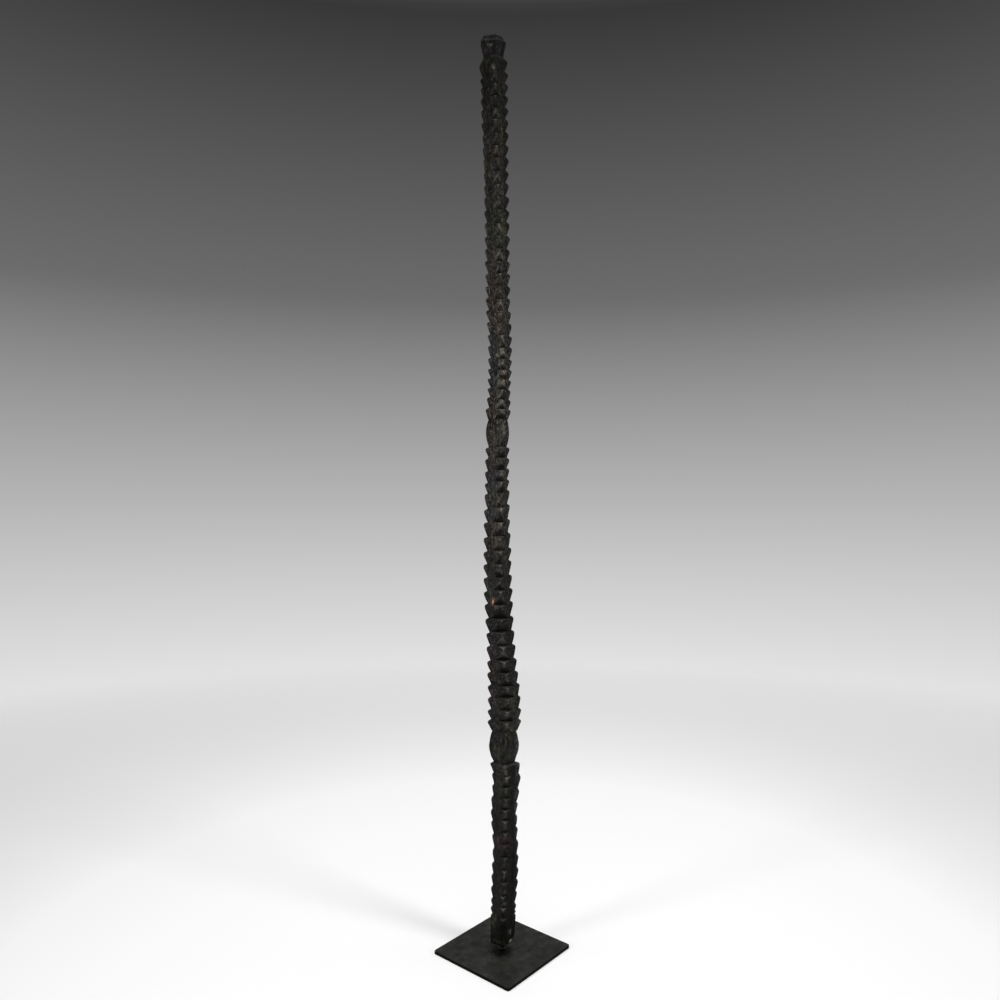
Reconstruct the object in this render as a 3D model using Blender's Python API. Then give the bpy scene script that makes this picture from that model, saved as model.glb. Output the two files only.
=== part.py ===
"""Carved house post: a slender squared hardwood post with notched arrises, on a steel rod and plate.

The post is one stick, hewn roughly square, so its width and thickness differ along its length. From the
top it has a domed finial, a long run of teeth, a barrel, a second run of teeth, a larger barrel, a third
run and a plain worn end. Its four arrises carry the teeth: each tooth is a short ledge that slopes
outwards, a short stretch of worn arris, and a long bevel back in.
Lengths are in metres, +Z is up, and the origin is the middle of the plate's underside.
"""

import bmesh
import bpy
import numpy as np

MM = 0.001

# Stand
PLATE_SIDE = 254 * MM
PLATE_THICKNESS = 8 * MM
PLATE_CORNER_RADIUS = 6 * MM
PLATE_EDGE_BREAK = 0.6 * MM
ROD_RADIUS = 8 * MM
ROD_SIDES = 32
WELD_RADIUS = 12.5 * MM
WELD_HEIGHT = 4 * MM
WELD_STEPS = 4
ROD_LENGTH_IN_POST = 80 * MM
JOINT_GAP = 0.3 * MM

# Post: heights are above the plate's top face
FOOT_HEIGHT = 21 * MM
BOW_DIRECTION = np.radians(40)
CARVING_SEED = 7

# The arrises in order round the post, as the signs of X and Y: front, right, back, left
ARRISES = np.array(((1, -1), (1, 1), (-1, 1), (-1, -1)))

# The squared stick's natural shape, up its length: height, width along X, thickness along Y, twist in
# degrees, and how far it bows sideways
STICK = (
    (14, 48.5, 48.5, -4, 1),
    (120, 50.5, 51.5, -5, 3.5),
    (200, 52.5, 55.5, -6, 7),
    (270, 51.5, 52.5, -5, 8),
    (350, 54.5, 50.5, -2, 5),
    (470, 57.5, 56.5, -4, 9),
    (500, 59.5, 58.5, -3, 4),
    (540, 61.5, 60.5, -1, 5),
    (620, 68.5, 60.5, 2, 6),
    (680, 69, 55, 4, 4.5),
    (740, 61.5, 54.5, 2, 0),
    (820, 57.5, 50.5, 2, -5),
    (930, 59, 52, 2, -10.5),
    (1040, 57.5, 47.5, 4, -12.5),
    (1180, 57.5, 38.5, 7, -14),
    (1310, 54.5, 36.5, 6, -13),
    (1395, 56.5, 39.5, 5, -12),
    (1460, 52, 38.5, 5, -8.5),
    (1570, 51.5, 41.5, 4, -6),
    (1700, 51.5, 44.5, 3, -11),
    (1830, 53.5, 45.5, 2, -13),
    (1965, 52.5, 45.5, 1, -16),
    (2120, 54.5, 50.5, -1, -19),
    (2225, 55.5, 53.5, -1, -21),
    (2400, 55.5, 53.5, -2, -25),
)

# Finial, from its neck up: height, side, arris cut and share of the dip. The lip of the drum dips towards
# the front and the right arris by LIP_DIP
FINIAL = (
    (2335, 49.0, 13.0, 0.0),
    (2352, 54.5, 15.0, 0.3),
    (2366, 60.0, 17.0, 0.7),
    (2375.5, 65.0, 18.5, 1.0),
    (2384.5, 53.0, 15.0, 1.0),
    (2389, 48.0, 13.5, 0.8),
    (2391.8, 37.0, 10.5, 0.4),
    (2393, 20.0, 6.0, 0.0),
)
LIP_DIP = (8, 4, 0, 0)

# Barrels, from the bottom up: their ends, and how much they add to the stick's sides at neck and belly
LOWER_BARREL = {"bottom": 489, "top": 571, "neck": -14.0, "belly": 0.0}
UPPER_BARREL = {"bottom": 1315, "top": 1386, "neck": -9.0, "belly": 0.0}
BARREL_ARRIS = 5 * MM
BARREL_STEPS = 8

# Runs of teeth, from the bottom up. Marks are the heights at which a counted tooth's ledge starts. The rows
# of notch and lag give, at a height, a value for each arris: a notch is measured along the faces, and a lag
# is how far an arris is cut below the marks, in teeth. Lags fade out at a run's ends, but the topmost tooth
# keeps the share top_lag
LOWER_RUN = {
    "teeth": 13,
    "marks": ((0, 90), (4, 215), (7, 314), (10, 402), (13, 487)),
    "notch": ((90, 12, 12, 14, 12), (170, 15, 12.5, 15, 12), (487, 17, 11, 15, 10)),
    "arris": 3.5,
    "lag": (
        (90, 0.15, 1.2, 0.3, 0.65),
        (250, 0, 1.1, 0.3, 0.67),
        (320, 0, 1.05, 0.2, 0.5),
        (360, 0, 0.75, 0.15, 0.3),
        (430, 0, 0.6, 0.1, 0.05),
        (487, 0, 0.6, 0.1, 0),
    ),
    "top_lag": 0.0,
}
MIDDLE_RUN = {
    "teeth": 22,
    "marks": ((0, 573), (2, 630), (6, 762), (10, 910), (14, 1053), (18, 1203), (22, 1314)),
    "notch": (
        (573, 24, 15, 19, 16.5),
        (660, 29, 15, 20, 16.5),
        (900, 28, 14.5, 20, 16.5),
        (950, 21, 14.5, 19, 16.5),
        (1314, 19, 14, 17, 16.5),
    ),
    "arris": 2.0,
    "lag": ((573, 0, 0, 0.1, 0.1), (1314, 0.3, 0, 0.2, 0.4)),
    "top_lag": 0.0,
}
UPPER_RUN = {
    "teeth": 30,
    "marks": (
        (0, 1388),
        (3, 1465),
        (6, 1543),
        (10, 1671),
        (15, 1835),
        (20, 2006),
        (25, 2174),
        (30, 2330),
    ),
    "notch": ((1388, 17.5, 12, 14.5, 15.5), (2330, 18, 20, 16.5, 16.5)),
    "arris": 2.0,
    "lag": ((1388, 0, 0, 0.1, -0.3), (2262, 0.37, 0, 0.19, 0.26), (2299, 0.39, 0, 0.2, 0.58)),
    "top_lag": 1.0,
}
LEDGE_SHARE = 0.09
ARRIS_SHARE = 0.22
WIDEST_TOOTH = 1.15
HAND_WANDER = 0.05

# The left arris is rubbed nearly smooth along one stretch
RUBBED_ARRIS = 3
RUBBED_MIDDLE = 2050 * MM
RUBBED_REACH = 220 * MM
RUBBED_CUT = 4 * MM
RUBBED_FILL = 3 * MM

# Plain lower end, from the underside up: height above the foot, inset of its sides, and the cut at each
# arris. The right arris has split off at the bottom, and the front one is worn in
FOOT = (
    (0, 5, (9, 16, 7, 5)),
    (2.5, 2.5, (8, 15, 6, 4.5)),
    (7, 1, (6, 11, 5, 4)),
    (14, 0, (5, 6, 4.5, 4)),
    (24, 0, (4.5, 4, 4, 4)),
    (43, 0, (7, 5, 6, 5)),
    (59, 0, (3, 3.5, 3.5, 3.5)),
    (65, 0, (3, 3.5, 3.5, 3.5)),
)

WOOD = {"colour": (0.016, 0.013, 0.010), "roughness": 0.55, "metallic": 0.0}
STEEL = {"colour": (0.024, 0.024, 0.022), "roughness": 0.42, "metallic": 0.6}


def make_material(name, finish):
    """A plain Principled material with one finish's colour, roughness and metallic value."""
    material = bpy.data.materials.new(name)
    material.use_nodes = True
    shader = material.node_tree.nodes["Principled BSDF"]
    shader.inputs["Base Color"].default_value = (*finish["colour"], 1.0)
    shader.inputs["Roughness"].default_value = finish["roughness"]
    shader.inputs["Metallic"].default_value = finish["metallic"]
    return material


def make_object(name, bm, material):
    """Put a finished bmesh into the scene as one named object."""
    mesh = bpy.data.meshes.new(name)
    bm.to_mesh(mesh)
    bm.free()
    mesh.materials.append(material)
    made = bpy.data.objects.new(name, mesh)
    bpy.context.collection.objects.link(made)
    return made


def smooth_curve(heights, values, z):
    """Value at z of the smooth curve through the stations, a cubic between each two."""
    slopes = np.gradient(values, heights)
    i = np.clip(np.searchsorted(heights, z) - 1, 0, len(heights) - 2)
    span = heights[i + 1] - heights[i]
    t = np.clip((z - heights[i]) / span, 0, 1)
    rise = values[i + 1] - values[i]
    ease = t * t * (3 - 2 * t)
    pull = t * (1 - t) * span * ((1 - t) * slopes[i] - t * slopes[i + 1])
    return values[i] + rise * ease + pull


def stick_at(z):
    """Width, thickness, twist and bow of the uncarved stick at each height in z."""
    stations = np.array(STICK, dtype=float).T
    heights = stations[0] * MM
    width, thickness, twist, bow = (smooth_curve(heights, column, z) for column in stations[1:])
    return width * MM, thickness * MM, np.radians(twist), bow * MM


def outline(z, cut, grow=0.0):
    """One outline of the post: the height, size and cut at each of its four arrises."""
    z, cut = (np.broadcast_to(value, len(ARRISES)).astype(float) for value in (z, cut))
    width, thickness = stick_at(z)[:2]
    return {"z": z, "cut": cut, "sides": np.stack((width, thickness), axis=1) + grow}


def foot_outlines():
    """The plain lower end: its edges are worn in, and one arris is split off."""
    return [outline(FOOT_HEIGHT + rise * MM, np.array(cut) * MM, -inset * MM) for rise, inset, cut in FOOT]


def rubbed(z):
    """How far each arris is rubbed away at the heights in z, from 0 to 1, fading along the stretch."""
    reach = np.clip(np.abs(z - RUBBED_MIDDLE) / RUBBED_REACH, 0, 1)
    return (np.arange(len(ARRISES)) == RUBBED_ARRIS) * 0.5 * (1 + np.cos(np.pi * reach))


def along_run(run, name, z):
    """A run's value for each arris at height z, straight between the heights where it is given."""
    rows = np.array(run[name], dtype=float).T
    return np.array([np.interp(z, rows[0] * MM, arris) for arris in rows[1:]])


def tooth_outlines(run, rng):
    """A run of teeth: three outlines a tooth, at the ledge's root and the worn arris's two ends. On each
    arris a tooth takes up the room to the next root, but no more than it is meant to have."""
    counts, marks = np.array(run["marks"], dtype=float).T
    starts = np.interp(np.arange(run["teeth"] + 1), counts, marks) * MM
    roots = []
    notches = []
    for tooth, base in enumerate(starts[:-1]):
        fade = min(1.0, 2 * tooth / 3, run["top_lag"] + 2 * (run["teeth"] - 1 - tooth) / 3)
        wander = rng.uniform(-HAND_WANDER, HAND_WANDER, len(ARRISES))
        unequal = rng.uniform(-HAND_WANDER, HAND_WANDER, len(ARRISES))
        roots.append(base - fade * (along_run(run, "lag", base) + wander) * (starts[tooth + 1] - base))
        notches.append(along_run(run, "notch", base) * (1 + unequal) * MM)
    roots.append(np.full(len(ARRISES), starts[-1]))
    bevel = 1 - LEDGE_SHARE - ARRIS_SHARE
    outlines = []
    for tooth, notch in enumerate(notches):
        root = roots[tooth]
        pitch = np.minimum(roots[tooth + 1] - root, WIDEST_TOOTH * (starts[tooth + 1] - starts[tooth]))
        outlines.append(outline(root, notch - RUBBED_FILL * rubbed(root)))
        for rise in (bevel, bevel + ARRIS_SHARE):
            z = root + rise * pitch
            outlines.append(outline(z, run["arris"] * MM + RUBBED_CUT * rubbed(z)))
    return outlines


def barrel_outlines(barrel):
    """A barrel: a smooth swelling between two necks, its arrises softened."""
    outlines = []
    for step in range(BARREL_STEPS + 1):
        share = step / BARREL_STEPS
        z = (barrel["bottom"] + share * (barrel["top"] - barrel["bottom"])) * MM
        swell = barrel["neck"] + (barrel["belly"] - barrel["neck"]) * np.sin(np.pi * share)
        outlines.append(outline(z, BARREL_ARRIS, swell * MM))
    return outlines


def finial_outlines():
    """The finial: a drum that widens to a brim, under a low dome."""
    outlines = []
    for z, side, cut, dip in FINIAL:
        made = outline((z - dip * np.array(LIP_DIP)) * MM, cut * MM)
        made["sides"][:] = side * MM
        outlines.append(made)
    return outlines


def corner_points(made):
    """The eight points of an outline: two at each arris, one on either of its faces."""
    twist, bow = stick_at(made["z"])[2:]
    points = []
    for signs, side, z, cut, turn, shift in zip(
        ARRISES, made["sides"] / 2, made["z"], made["cut"], twist, bow
    ):
        on_x_face = signs * (side - (0, cut))
        on_y_face = signs * (side - (cut, 0))
        pair = (on_y_face, on_x_face) if signs[0] * signs[1] < 0 else (on_x_face, on_y_face)
        for x, y in pair:
            points.append((
                x * np.cos(turn) - y * np.sin(turn) + shift * np.cos(BOW_DIRECTION),
                x * np.sin(turn) + y * np.cos(turn) + shift * np.sin(BOW_DIRECTION),
                PLATE_THICKNESS + z,
            ))
    return points


def loft(outlines):
    """Skin the outlines from the bottom up, and cap both ends."""
    bm = bmesh.new()
    rings = [[bm.verts.new(point) for point in corner_points(made)] for made in outlines]
    for lower, upper in zip(rings, rings[1:]):
        for here in range(len(lower)):
            after = (here + 1) % len(lower)
            bm.faces.new((lower[here], lower[after], upper[after], upper[here]))
    bm.faces.new(reversed(rings[0]))
    bm.faces.new(rings[-1])
    return bm


def build_post():
    """The carved post, one solid, with a blind hole up its underside for the rod."""
    rng = np.random.default_rng(CARVING_SEED)
    outlines = foot_outlines() + tooth_outlines(LOWER_RUN, rng) + barrel_outlines(LOWER_BARREL)
    outlines += tooth_outlines(MIDDLE_RUN, rng) + barrel_outlines(UPPER_BARREL)
    outlines += tooth_outlines(UPPER_RUN, rng) + finial_outlines()
    post = make_object("carved_post", loft(outlines), make_material("dark patinated hardwood", WOOD))
    drill(post)
    return post


def drill(post):
    """Cut the rod's hole, a little wider and deeper than the rod."""
    reach = ROD_LENGTH_IN_POST + FOOT_HEIGHT
    bm = bmesh.new()
    bmesh.ops.create_cone(
        bm,
        cap_ends=True,
        segments=ROD_SIDES,
        radius1=ROD_RADIUS + JOINT_GAP,
        radius2=ROD_RADIUS + JOINT_GAP,
        depth=reach,
    )
    cutter = make_object("rod_hole_cutter", bm, make_material("cutter", WOOD))
    cutter.location.z = PLATE_THICKNESS + FOOT_HEIGHT + ROD_LENGTH_IN_POST + JOINT_GAP - reach / 2
    cutter.hide_render = True
    cutter.display_type = "WIRE"
    hole = post.modifiers.new("rod hole", "BOOLEAN")
    hole.operation = "DIFFERENCE"
    hole.solver = "EXACT"
    hole.object = cutter


def build_rod(steel):
    """The rod, turned in one profile: a hollow weld collar at its foot, then straight up."""
    floor = PLATE_THICKNESS + JOINT_GAP
    top = PLATE_THICKNESS + FOOT_HEIGHT + ROD_LENGTH_IN_POST
    throat = WELD_RADIUS - ROD_RADIUS
    profile = [(0.0, floor), (WELD_RADIUS, floor)]
    for step in range(1, WELD_STEPS + 1):
        angle = 0.5 * np.pi * step / WELD_STEPS
        profile.append((WELD_RADIUS - throat * np.sin(angle), floor + WELD_HEIGHT * (1 - np.cos(angle))))
    profile += [(ROD_RADIUS, top), (0.0, top)]
    bm = bmesh.new()
    points = [bm.verts.new((radius, 0.0, z)) for radius, z in profile]
    edges = [bm.edges.new(pair) for pair in zip(points, points[1:])]
    bmesh.ops.spin(
        bm,
        geom=points + edges,
        cent=(0, 0, 0),
        axis=(0, 0, 1),
        angle=2 * np.pi,
        steps=ROD_SIDES,
        use_merge=True,
    )
    bmesh.ops.remove_doubles(bm, verts=bm.verts, dist=1e-6)
    bmesh.ops.recalc_face_normals(bm, faces=bm.faces)
    rod = make_object("mounting_rod", bm, steel)
    rod.data.shade_smooth()
    rod.data.set_sharp_from_angle(angle=np.radians(35))
    return rod


def build_plate(steel):
    """The base plate: a square of steel plate with rounded corners and broken edges."""
    bm = bmesh.new()
    bmesh.ops.create_cube(bm, size=1.0)
    bmesh.ops.scale(bm, verts=bm.verts, vec=(PLATE_SIDE, PLATE_SIDE, PLATE_THICKNESS))
    bmesh.ops.translate(bm, verts=bm.verts, vec=(0, 0, PLATE_THICKNESS / 2))
    upright = [edge for edge in bm.edges if abs(edge.verts[0].co.z - edge.verts[1].co.z) > PLATE_THICKNESS / 2]
    bmesh.ops.bevel(bm, geom=upright, offset=PLATE_CORNER_RADIUS, segments=6, profile=0.5, affect="EDGES")
    rims = [edge for edge in bm.edges if abs(edge.verts[0].co.z - edge.verts[1].co.z) < PLATE_THICKNESS / 2]
    bmesh.ops.bevel(bm, geom=rims, offset=PLATE_EDGE_BREAK, segments=1, affect="EDGES")
    return make_object("base_plate", bm, steel)


def main():
    for item in list(bpy.data.objects):
        bpy.data.objects.remove(item, do_unlink=True)
    steel = make_material("blackened steel", STEEL)
    build_plate(steel)
    build_rod(steel)
    build_post()


main()
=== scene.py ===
# %% [markdown]
# # A carved house post on its stand
#
# The real piece is one tall stick of dark hardwood, hewn roughly square. A carver has notched its four
# arrises (the long corner edges) into three runs of teeth, with a barrel between each two runs and a domed
# finial on top. It stands on a short steel rod that is welded to a square steel plate.
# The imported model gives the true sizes. This lesson rebuilds each piece as a finer surface in the same
# place: the knife cuts, the worn edges, the patina on the wood and the scale on the steel.

import bpy
import numpy as np
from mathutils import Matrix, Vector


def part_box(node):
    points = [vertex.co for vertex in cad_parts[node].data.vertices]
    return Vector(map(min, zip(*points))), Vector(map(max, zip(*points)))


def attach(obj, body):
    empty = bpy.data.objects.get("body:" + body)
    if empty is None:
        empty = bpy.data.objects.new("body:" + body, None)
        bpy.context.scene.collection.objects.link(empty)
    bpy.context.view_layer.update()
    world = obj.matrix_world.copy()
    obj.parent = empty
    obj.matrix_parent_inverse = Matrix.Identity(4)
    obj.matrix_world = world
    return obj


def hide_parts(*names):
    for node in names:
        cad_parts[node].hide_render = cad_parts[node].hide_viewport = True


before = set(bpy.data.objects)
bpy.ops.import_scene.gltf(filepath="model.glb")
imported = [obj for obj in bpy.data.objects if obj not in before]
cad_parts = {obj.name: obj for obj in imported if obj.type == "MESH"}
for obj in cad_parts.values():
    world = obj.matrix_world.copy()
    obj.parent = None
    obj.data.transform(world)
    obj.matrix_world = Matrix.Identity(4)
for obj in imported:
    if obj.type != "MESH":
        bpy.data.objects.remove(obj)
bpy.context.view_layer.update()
print("packed nodes:", sorted(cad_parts))

# %% [markdown]
# ## Where things are
#
# Nothing is placed by eye. The plate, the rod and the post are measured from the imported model, and every
# height on the post is counted from the plate's top face, as a maker with a tape would.

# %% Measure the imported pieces
MM = 0.001
plate_low, plate_high = (np.array(corner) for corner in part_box("base_plate"))
rod_low, rod_high = (np.array(corner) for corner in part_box("mounting_rod"))
post_low, post_high = (np.array(corner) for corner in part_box("carved_post"))
PLATE_TOP = plate_high[2]
FOOT_HEIGHT = post_low[2] - PLATE_TOP
print("plate side, mm:", (plate_high - plate_low)[:2] / MM)
print("rod and weld, height in mm:", round((rod_high[2] - rod_low[2]) / MM, 1))
print("post from", round(FOOT_HEIGHT / MM, 1), "to", round((post_high[2] - PLATE_TOP) / MM, 1), "mm")

# %% [markdown]
# ## The uncarved stick
#
# Before any tooth is cut there is a stick that a tree and an adze have shaped: it swells and thins, turns a
# little and bows. A few stations up its length say how wide and thick it is, how far it turns and how far it
# bows, and a smooth curve runs through them, as a boatbuilder springs a batten through pins.

# %% Stations of the stick, and the curve through them
# Height above the plate's top, width along X and thickness along Y in mm, twist in degrees, bow in mm
STICK = (
    (14, 48.5, 48.5, -4, 1),
    (120, 50.5, 51.5, -5, 3.5),
    (200, 52.5, 55.5, -6, 7),
    (270, 51.5, 52.5, -5, 8),
    (350, 54.5, 50.5, -2, 5),
    (470, 57.5, 56.5, -4, 9),
    (500, 59.5, 58.5, -3, 4),
    (540, 61.5, 60.5, -1, 5),
    (620, 68.5, 60.5, 2, 6),
    (680, 69, 55, 4, 4.5),
    (740, 61.5, 54.5, 2, 0),
    (820, 57.5, 50.5, 2, -5),
    (930, 59, 52, 2, -10.5),
    (1040, 57.5, 47.5, 4, -12.5),
    (1180, 57.5, 38.5, 7, -14),
    (1310, 54.5, 36.5, 6, -13),
    (1395, 56.5, 39.5, 5, -12),
    (1460, 52, 38.5, 5, -8.5),
    (1570, 51.5, 41.5, 4, -6),
    (1700, 51.5, 44.5, 3, -11),
    (1830, 53.5, 45.5, 2, -13),
    (1965, 52.5, 45.5, 1, -16),
    (2120, 54.5, 50.5, -1, -19),
    (2225, 55.5, 53.5, -1, -21),
    (2400, 55.5, 53.5, -2, -25),
)
BOW_DIRECTION = np.radians(40)


def smooth_curve(heights, values, z):
    """Value at z of the curve through the stations: between two of them it is their eased mean, plus a
    cubic term that makes its slope at each station the slope of the stations around it."""
    slopes = np.gradient(values, heights)
    i = np.clip(np.searchsorted(heights, z) - 1, 0, len(heights) - 2)
    span = heights[i + 1] - heights[i]
    t = np.clip((z - heights[i]) / span, 0, 1)
    ease = t * t * (3 - 2 * t)
    pull = t * (1 - t) * span * ((1 - t) * slopes[i] - t * slopes[i + 1])
    return values[i] + (values[i + 1] - values[i]) * ease + pull


def stick_at(z):
    """Width and thickness in metres, twist in radians and bow in metres of the stick at heights z."""
    stations = np.array(STICK, dtype=float).T
    width, thickness, twist, bow = (smooth_curve(stations[0] * MM, row, z) for row in stations[1:])
    return width * MM, thickness * MM, np.radians(twist), bow * MM


print("width at mid height, mm:", round(float(stick_at(np.array(1.2))[0]) / MM, 1))

# %% [markdown]
# ## Outlines, or what the carver leaves at each height
#
# Cut the stick across at any height and there is a rectangle whose corners are cut off. So one outline is
# four corners, each with its own height and its own cut, because a carver never gets round the stick dead
# level. The cut is deep at the root of a tooth and small on the worn arris. An outline also keeps how many
# rows of mesh fill the gap above it, how softly the wear has rounded it, and how much its cut leans on to
# one face. The whole post is a stack of such outlines.

# %% A stack of outlines
ARRISES = np.array(((1, -1), (1, 1), (-1, 1), (-1, -1)))  # signs of X and Y: front, right, back, left


def outlines(z, cut, grow=0.0, side=None, steps=1, soften=2.0, rounding=1.5, crest=0.5, lean=0.0):
    """A stack of outlines as arrays: one row for each outline, one column for each arris. A value may be one
    number, a column of one for each outline, or a whole array. A side in place of the stick's own makes the
    outline square; grow is added to the stick's sides."""
    count = len(z)

    def spread(value):
        value = np.asarray(value, dtype=float)
        value = value.reshape(count, 1) if value.shape == (count,) else value
        return np.broadcast_to(value, (count, 4)).copy()

    z = spread(z)
    sides = np.stack(stick_at(z)[:2], axis=-1) + spread(grow)[..., None]
    if side is not None:
        sides = np.stack((spread(side), spread(side)), axis=-1)
    values = {"cut": cut, "soften": soften * MM, "rounding": rounding * MM, "crest": crest, "lean": lean}
    made = {name: spread(value) for name, value in values.items()}
    return {**made, "z": z, "sides": sides, "steps": np.broadcast_to(steps, count).copy()}


print("an outline's values:", sorted(outlines([0.5], 0.003)))

# %% [markdown]
# ## The plain foot
#
# The lowest 50 mm were never carved. Damp and knocks have worn its edges in, and one corner has split away,
# so each row here has its own cut for each arris. The end was sawn askew, so it hangs lower on the left.
# A last, shallow tooth stands above the plain part.

# %% Foot outlines
# Height above the foot, inset of the sides, and the cut at the front, right, back and left arris
FOOT = (
    (0, 3, 8, 16, 7, 3.5),
    (2.5, 1.5, 7, 15, 6, 3),
    (7, 0.5, 6, 11, 5, 3),
    (14, 0, 5.5, 6, 4.5, 3.5),
    (24, 0, 4.5, 4, 4, 4),
    (43, 0, 7, 5, 6, 5),
    (59, 0, 3, 3.5, 3.5, 3.5),
    (65, 0, 3, 3.5, 3.5, 3.5),
)
FOOT_STEPS = (3, 4, 5, 5, 6, 5, 3, 3)

# How much lower the sawn end is at each arris, and the share of that which each row takes
FOOT_SAG = (2, 1, 0, 8)
SAG_SHARES = (1, 0.9, 0.65, 0.35, 0.1, 0, 0, 0)
rise, inset = np.array(FOOT, dtype=float).T[:2] * MM
foot_cut = np.array(FOOT, dtype=float)[:, 2:] * MM
foot_z = FOOT_HEIGHT + rise[:, None] - np.outer(SAG_SHARES, FOOT_SAG) * MM
foot = outlines(foot_z, foot_cut, -inset, steps=FOOT_STEPS, rounding=2.2, crest=0.3)
print("foot outlines:", len(foot["z"]))

# %% [markdown]
# ## A run of teeth
#
# Each tooth takes two cuts of the knife: a short ledge, nearly level, and a long bevel that runs down from
# the worn arris to the root of the next tooth. The teeth keep an even beat, but not a ruled one: marks give
# the height at which a counted tooth starts, each arris lags a little behind the others, and a small seeded
# wander stands for the hand. Everything is worked out for all the teeth of a run at once.

# %% Teeth
CARVING_SEED = 7
LEDGE_SHARE = 0.09
ARRIS_SHARE = 0.22
WIDEST_TOOTH = 1.15
FRONT_UNEVEN = 0.13
FRONT_BEAT = 2.4
FRONT_WARP = 1.7
HAND_WANDER = 0.05
FADE_TEETH = 1.5
TOOTH_STEPS = (8, 5, 4)

# The left arris is rubbed nearly smooth along one stretch
RUBBED_ARRIS = 3
RUBBED_MIDDLE = 2050 * MM
RUBBED_REACH = 220 * MM
RUBBED_CUT = 4 * MM
RUBBED_FILL = 3 * MM

# Marks: tooth and height. Other rows: height, then a value for the front, right, back and left arris. Lags
# fade out at a run's ends, but the topmost tooth keeps the share top_lag
LOWER_RUN = {
    "teeth": 13,
    "marks": ((0, 90), (4, 215), (7, 314), (10, 402), (13, 487)),
    "notch": ((90, 12, 12, 14, 12), (170, 15, 12.5, 15, 12), (487, 17, 11, 15, 10)),
    "arris": ((90, 1.8, 3.5, 3.5, 3.5),),
    "lag": (
        (90, 0.15, 1.2, 0.3, 0.65),
        (250, 0, 1.1, 0.3, 0.67),
        (320, 0, 1.05, 0.2, 0.5),
        (360, 0, 0.75, 0.15, 0.3),
        (430, 0, 0.6, 0.1, 0.05),
        (487, 0, 0.6, 0.1, 0),
    ),
    "top_lag": 0.0,
    "lean": ((90, 0.0, 0.0, 0.1, -0.1),),
    "soften": 2.0,
    "rounding": 2.0,
}
MIDDLE_RUN = {
    "teeth": 22,
    "marks": ((0, 573), (2, 630), (6, 762), (10, 910), (14, 1053), (18, 1203), (22, 1314)),
    "notch": (
        (573, 24, 15, 19, 16.5),
        (660, 29, 15, 20, 16.5),
        (900, 28, 14.5, 20, 16.5),
        (950, 21, 14.5, 19, 16.5),
        (1314, 19, 14, 17, 16.5),
    ),
    "arris": ((573, 2.2, 2, 3, 2), (1050, 1.6, 2, 2, 2)),
    "lag": ((573, 0, 0, 0.1, 0.1), (1314, 0.3, 0, 0.2, 0.4)),
    "top_lag": 0.0,
    "lean": ((573, 0.1, 0, -0.1, 0.1), (900, 0.08, 0, -0.1, 0.1), (970, 0.27, 0, -0.2, 0.1)),
    "soften": 1.8,
    "rounding": 2.2,
}
UPPER_RUN = {
    "teeth": 30,
    "marks": (
        (0, 1388),
        (3, 1465),
        (6, 1543),
        (10, 1671),
        (15, 1835),
        (20, 2006),
        (25, 2174),
        (30, 2330),
    ),
    "notch": ((1388, 17.5, 12, 14.5, 15.5), (2330, 18, 20, 16.5, 16.5)),
    "arris": ((1388, 1.4, 2, 2, 2),),
    "lag": ((1388, 0, 0, 0.1, -0.3), (2262, 0.37, 0, 0.19, 0.26), (2299, 0.39, 0, 0.2, 0.58)),
    "top_lag": 1.0,
    "lean": ((1388, 0.1, 0, 0.1, 0),),
    "soften": 1.5,
    "rounding": 2.1,
}


def rubbed(z):
    """How far each arris is rubbed away at the heights in z, from 0 to 1, as a raised cosine."""
    reach = np.clip(np.abs(z - RUBBED_MIDDLE) / RUBBED_REACH, 0, 1)
    return (np.arange(4) == RUBBED_ARRIS) * 0.5 * (1 + np.cos(np.pi * reach))


def along_run(run, name, z):
    """A run's value for each arris at the heights z, straight between the heights where it is given."""
    given = np.array(run[name], dtype=float).T
    return np.stack([np.interp(z, given[0] * MM, arris) for arris in given[1:]], axis=-1)


def teeth(run, rng):
    """Three outlines a tooth: its root, and the lower and upper end of its worn arris. On each arris a tooth
    takes up the room to the next root, but no more than it is meant to have. The front notches are unequal
    by a sine of the tooth's count, and a cosine of the count keeps that sine from repeating."""
    counts, marks = np.array(run["marks"], dtype=float).T
    tooth = np.arange(run["teeth"])
    start = np.interp(np.arange(run["teeth"] + 1), counts, marks) * MM
    base, meant = start[:-1], np.diff(start)[:, None]
    at_top = run["top_lag"] + (tooth[-1] - tooth) / FADE_TEETH
    fade = np.minimum(1, np.minimum(tooth / FADE_TEETH, at_top))[:, None]
    wander, unequal = np.moveaxis(rng.uniform(-HAND_WANDER, HAND_WANDER, (run["teeth"], 2, 4)), 1, 0)
    root = base[:, None] - fade * (along_run(run, "lag", base) + wander) * meant
    room = np.diff(root, axis=0, append=np.full((1, 4), start[-1]))
    pitch = np.minimum(room, WIDEST_TOOTH * meant)
    notch = along_run(run, "notch", base) * (1 + unequal) * MM - RUBBED_FILL * rubbed(root)
    beat = np.sin(FRONT_BEAT * tooth + np.cos(FRONT_WARP * tooth))[:, None]
    notch *= 1 + FRONT_UNEVEN * (np.arange(4) == 0) * beat
    bevel = 1 - LEDGE_SHARE - ARRIS_SHARE
    z = np.stack((root, root + bevel * pitch, root + (bevel + ARRIS_SHARE) * pitch), axis=1)
    arris = along_run(run, "arris", base)[:, None] * MM + RUBBED_CUT * rubbed(z[:, 1:])
    cut = np.concatenate((notch[:, None], arris), axis=1)
    return outlines(
        z.reshape(-1, 4),
        cut.reshape(-1, 4),
        steps=np.tile(TOOTH_STEPS, run["teeth"]),
        soften=run["soften"],
        rounding=run["rounding"],
        crest=np.tile((0.0, 1.0, 1.0), run["teeth"]),
        lean=np.repeat(along_run(run, "lean", base), 3, axis=0),
    )


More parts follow.
